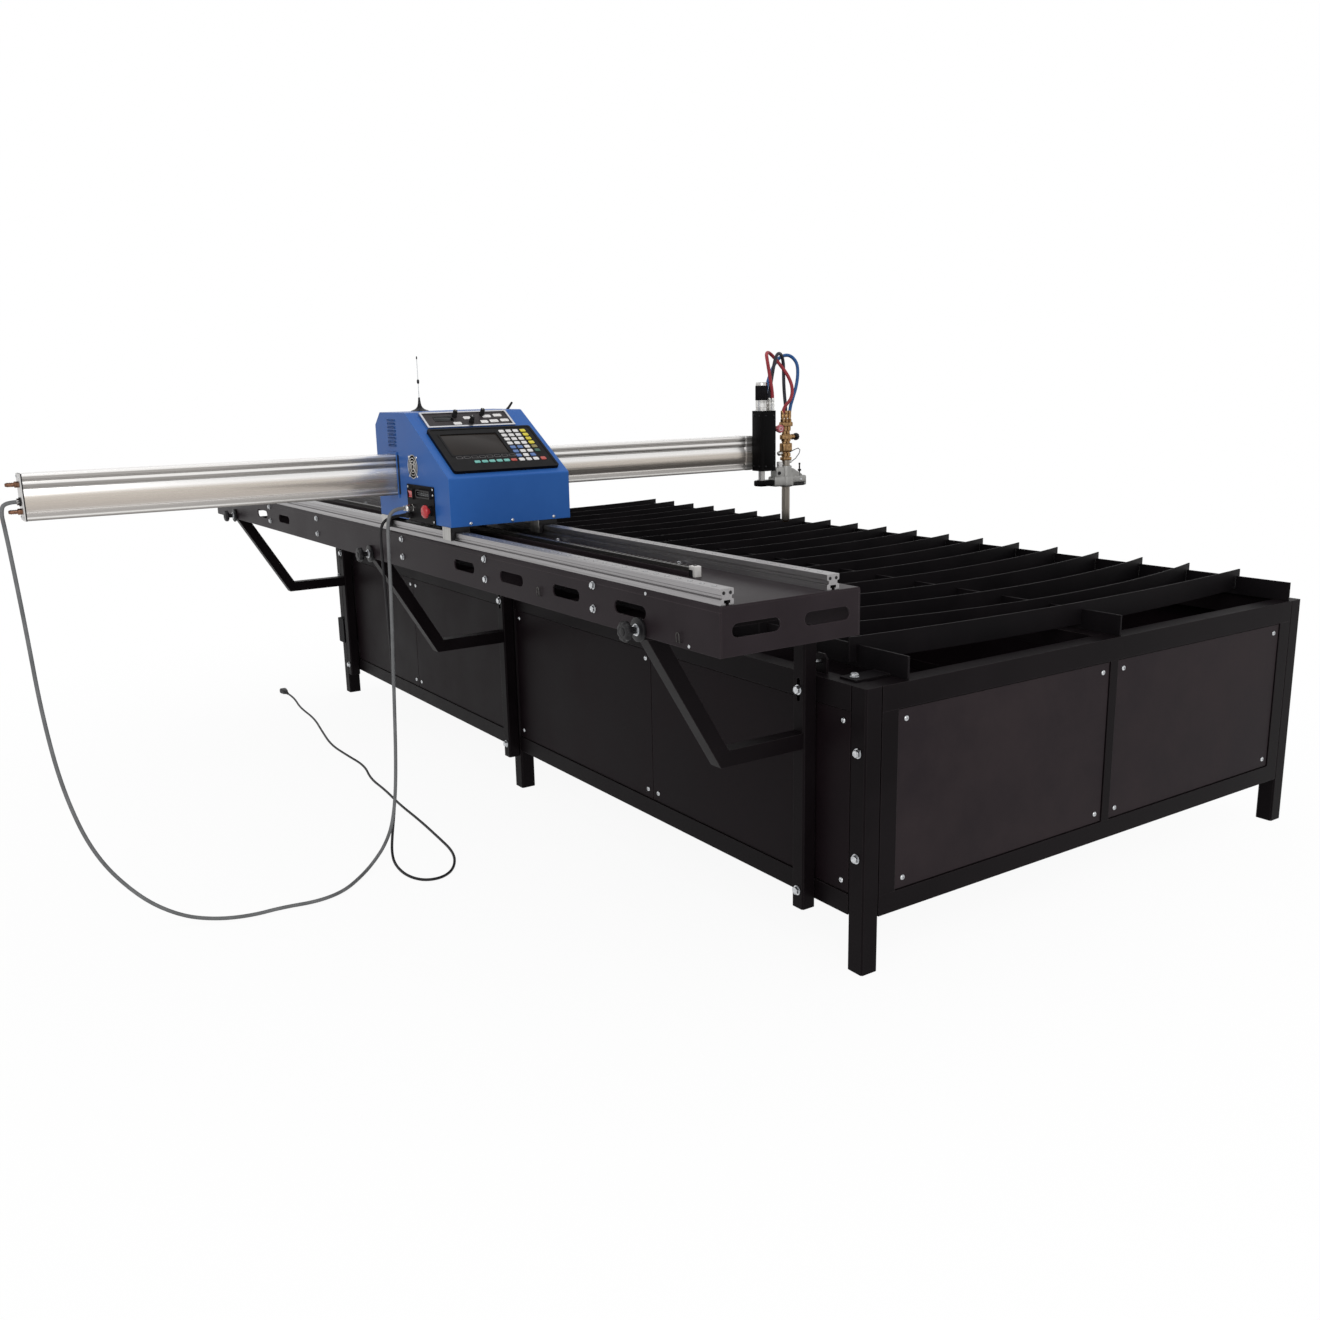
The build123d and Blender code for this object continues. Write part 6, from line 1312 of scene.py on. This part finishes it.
black_sheath = moulded("black_pvc_sheath", "#171618", "#232224", grain=2.5, **sheath)
mains_diameter = 8.0
mains_route = (
    (362, -508, 1000), (362, -538, 1000), (362, -569, 981), (362, -573, 930), (362, -568, 760),
    (361, -564, 520), (358, -571, 310), (349, -583, 150), (347, -596, 66), (364, -608, 20), (425, -623, 5),
    (520, -627, 5), (583, -600, 5), (592, -545, 5), (545, -491, 5), (440, -444, 5), (285, -430, 5),
    (110, -417, 5), (-60, -411, 5), (-230, -394, 5), (-385, -389, 5), (-540, -351, 5), (-710, -358, 5),
    (-880, -360, 5), (-1090, -324, 5), (-1300, -285, 5), (-1510, -277, 5), (-1670, -250, 7),
    (-1752, -249, 11), (-1790, -249, 11))
mains_cord, mains_line = lay_cord("mains_cord", mains_route, mains_diameter, black_sheath)
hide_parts("mains_cord")
plug_x, plug_y, plug_z = mains_route[-1]
plug_length, plug_half, plug_rise, plug_corner, pin_apart, pin_reach = 56.0, 15.0, 11.0, 6.5, 7.0, 19.0
plug, pins, rings = bmesh.new(), bmesh.new(), []
for along, share in ((0.0, 0.42), (4.0, 0.52), (12.0, 0.66), (22.0, 0.8), (30.0, 0.84), (38.0, 0.9), (44.0, 1.0),
                     (plug_length - 1.5, 1.0), (plug_length, 0.92)):
    size = (2 * plug_half * share, 2 * plug_rise * min(1.0, share + 0.08))
    rings.append([plug.verts.new((plug_x - along, y, z))
                  for y, z in rounded((plug_y, plug_z), size, plug_corner * share, 6)])
skin(plug, rings)
for rib in range(4):
    rib_radius = 6.4 - 0.4 * rib
    turned(plug, ((4.2, 0.0), (rib_radius, 0.6), (rib_radius, 3.4), (4.2, 4.4)),
           (plug_x - 1 + 6 * rib, plug_y, plug_z - 0.1 * rib), (1, 0, 0))
mains_plug = build("mains_plug_moulding", plug, black_abs, "table", ["mains_plug"], crease=50)
for side in (-pin_apart, pin_apart):
    turned(pins, ((2.4, -4.0), (2.4, pin_reach - 1.5), (1.6, pin_reach - 0.3), (0, pin_reach)),
           (plug_x - plug_length, plug_y + side, plug_z), (-1, 0, 0), sides=20)
plug_pins = build("mains_plug_pins", pins, nickel, "table")
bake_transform(mains_cord)

# Gas hoses
# Three rubber hoses, in blue, black and red, are pushed over the lifter's fittings. Each rises in a loop and
# comes down to an inlet on the torch.
hose_diameter = 11.5
for colour, tone, paler_tone, slot_name, length, route in (
        ("blue", "#24508A", "#37679E", "blue_rubber", 0.42,
         ((289, 856, 1279), (289, 856, 1303), (283, 867, 1338), (273, 890, 1374), (267, 914, 1405), (268, 937, 1427),
          (279, 967, 1433), (294, 988, 1408), (301, 988, 1372), (304, 979, 1329), (304, 964, 1290), (303, 951, 1257),
          (303, 948.5, 1232))),
        ("black", "#23242C", "#34353F", "black_sheath", 0.405,
         ((307, 856, 1279), (307, 856, 1303), (311, 861, 1342), (314, 867, 1382), (312, 877, 1415), (303, 896, 1437),
          (290, 923, 1434), (282, 939, 1405), (280, 941, 1369), (284, 939, 1329), (292, 936, 1291), (301, 933, 1258),
          (303, 933, 1232))),
        ("red", "#8E2730", "#A33E45", "red_rubber", 0.445,
         ((325, 856, 1279), (325, 856, 1303), (324, 849, 1343), (320, 844, 1382), (313, 843, 1413), (297, 851, 1437),
          (279, 877, 1441), (275, 905, 1422), (284, 929, 1393), (298, 948, 1360), (312, 955, 1322), (319, 944, 1284),
          (305.5, 919.5, 1256), (303, 917.5, 1232)))):
    rubber = moulded(colour + "_hose_rubber", tone, paler_tone, grain=2.0, **sheath)
    hose, hose_line = lay_cord("hose_" + colour, route, hose_diameter, rubber)
    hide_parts("hose_" + colour)
    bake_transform(hose)
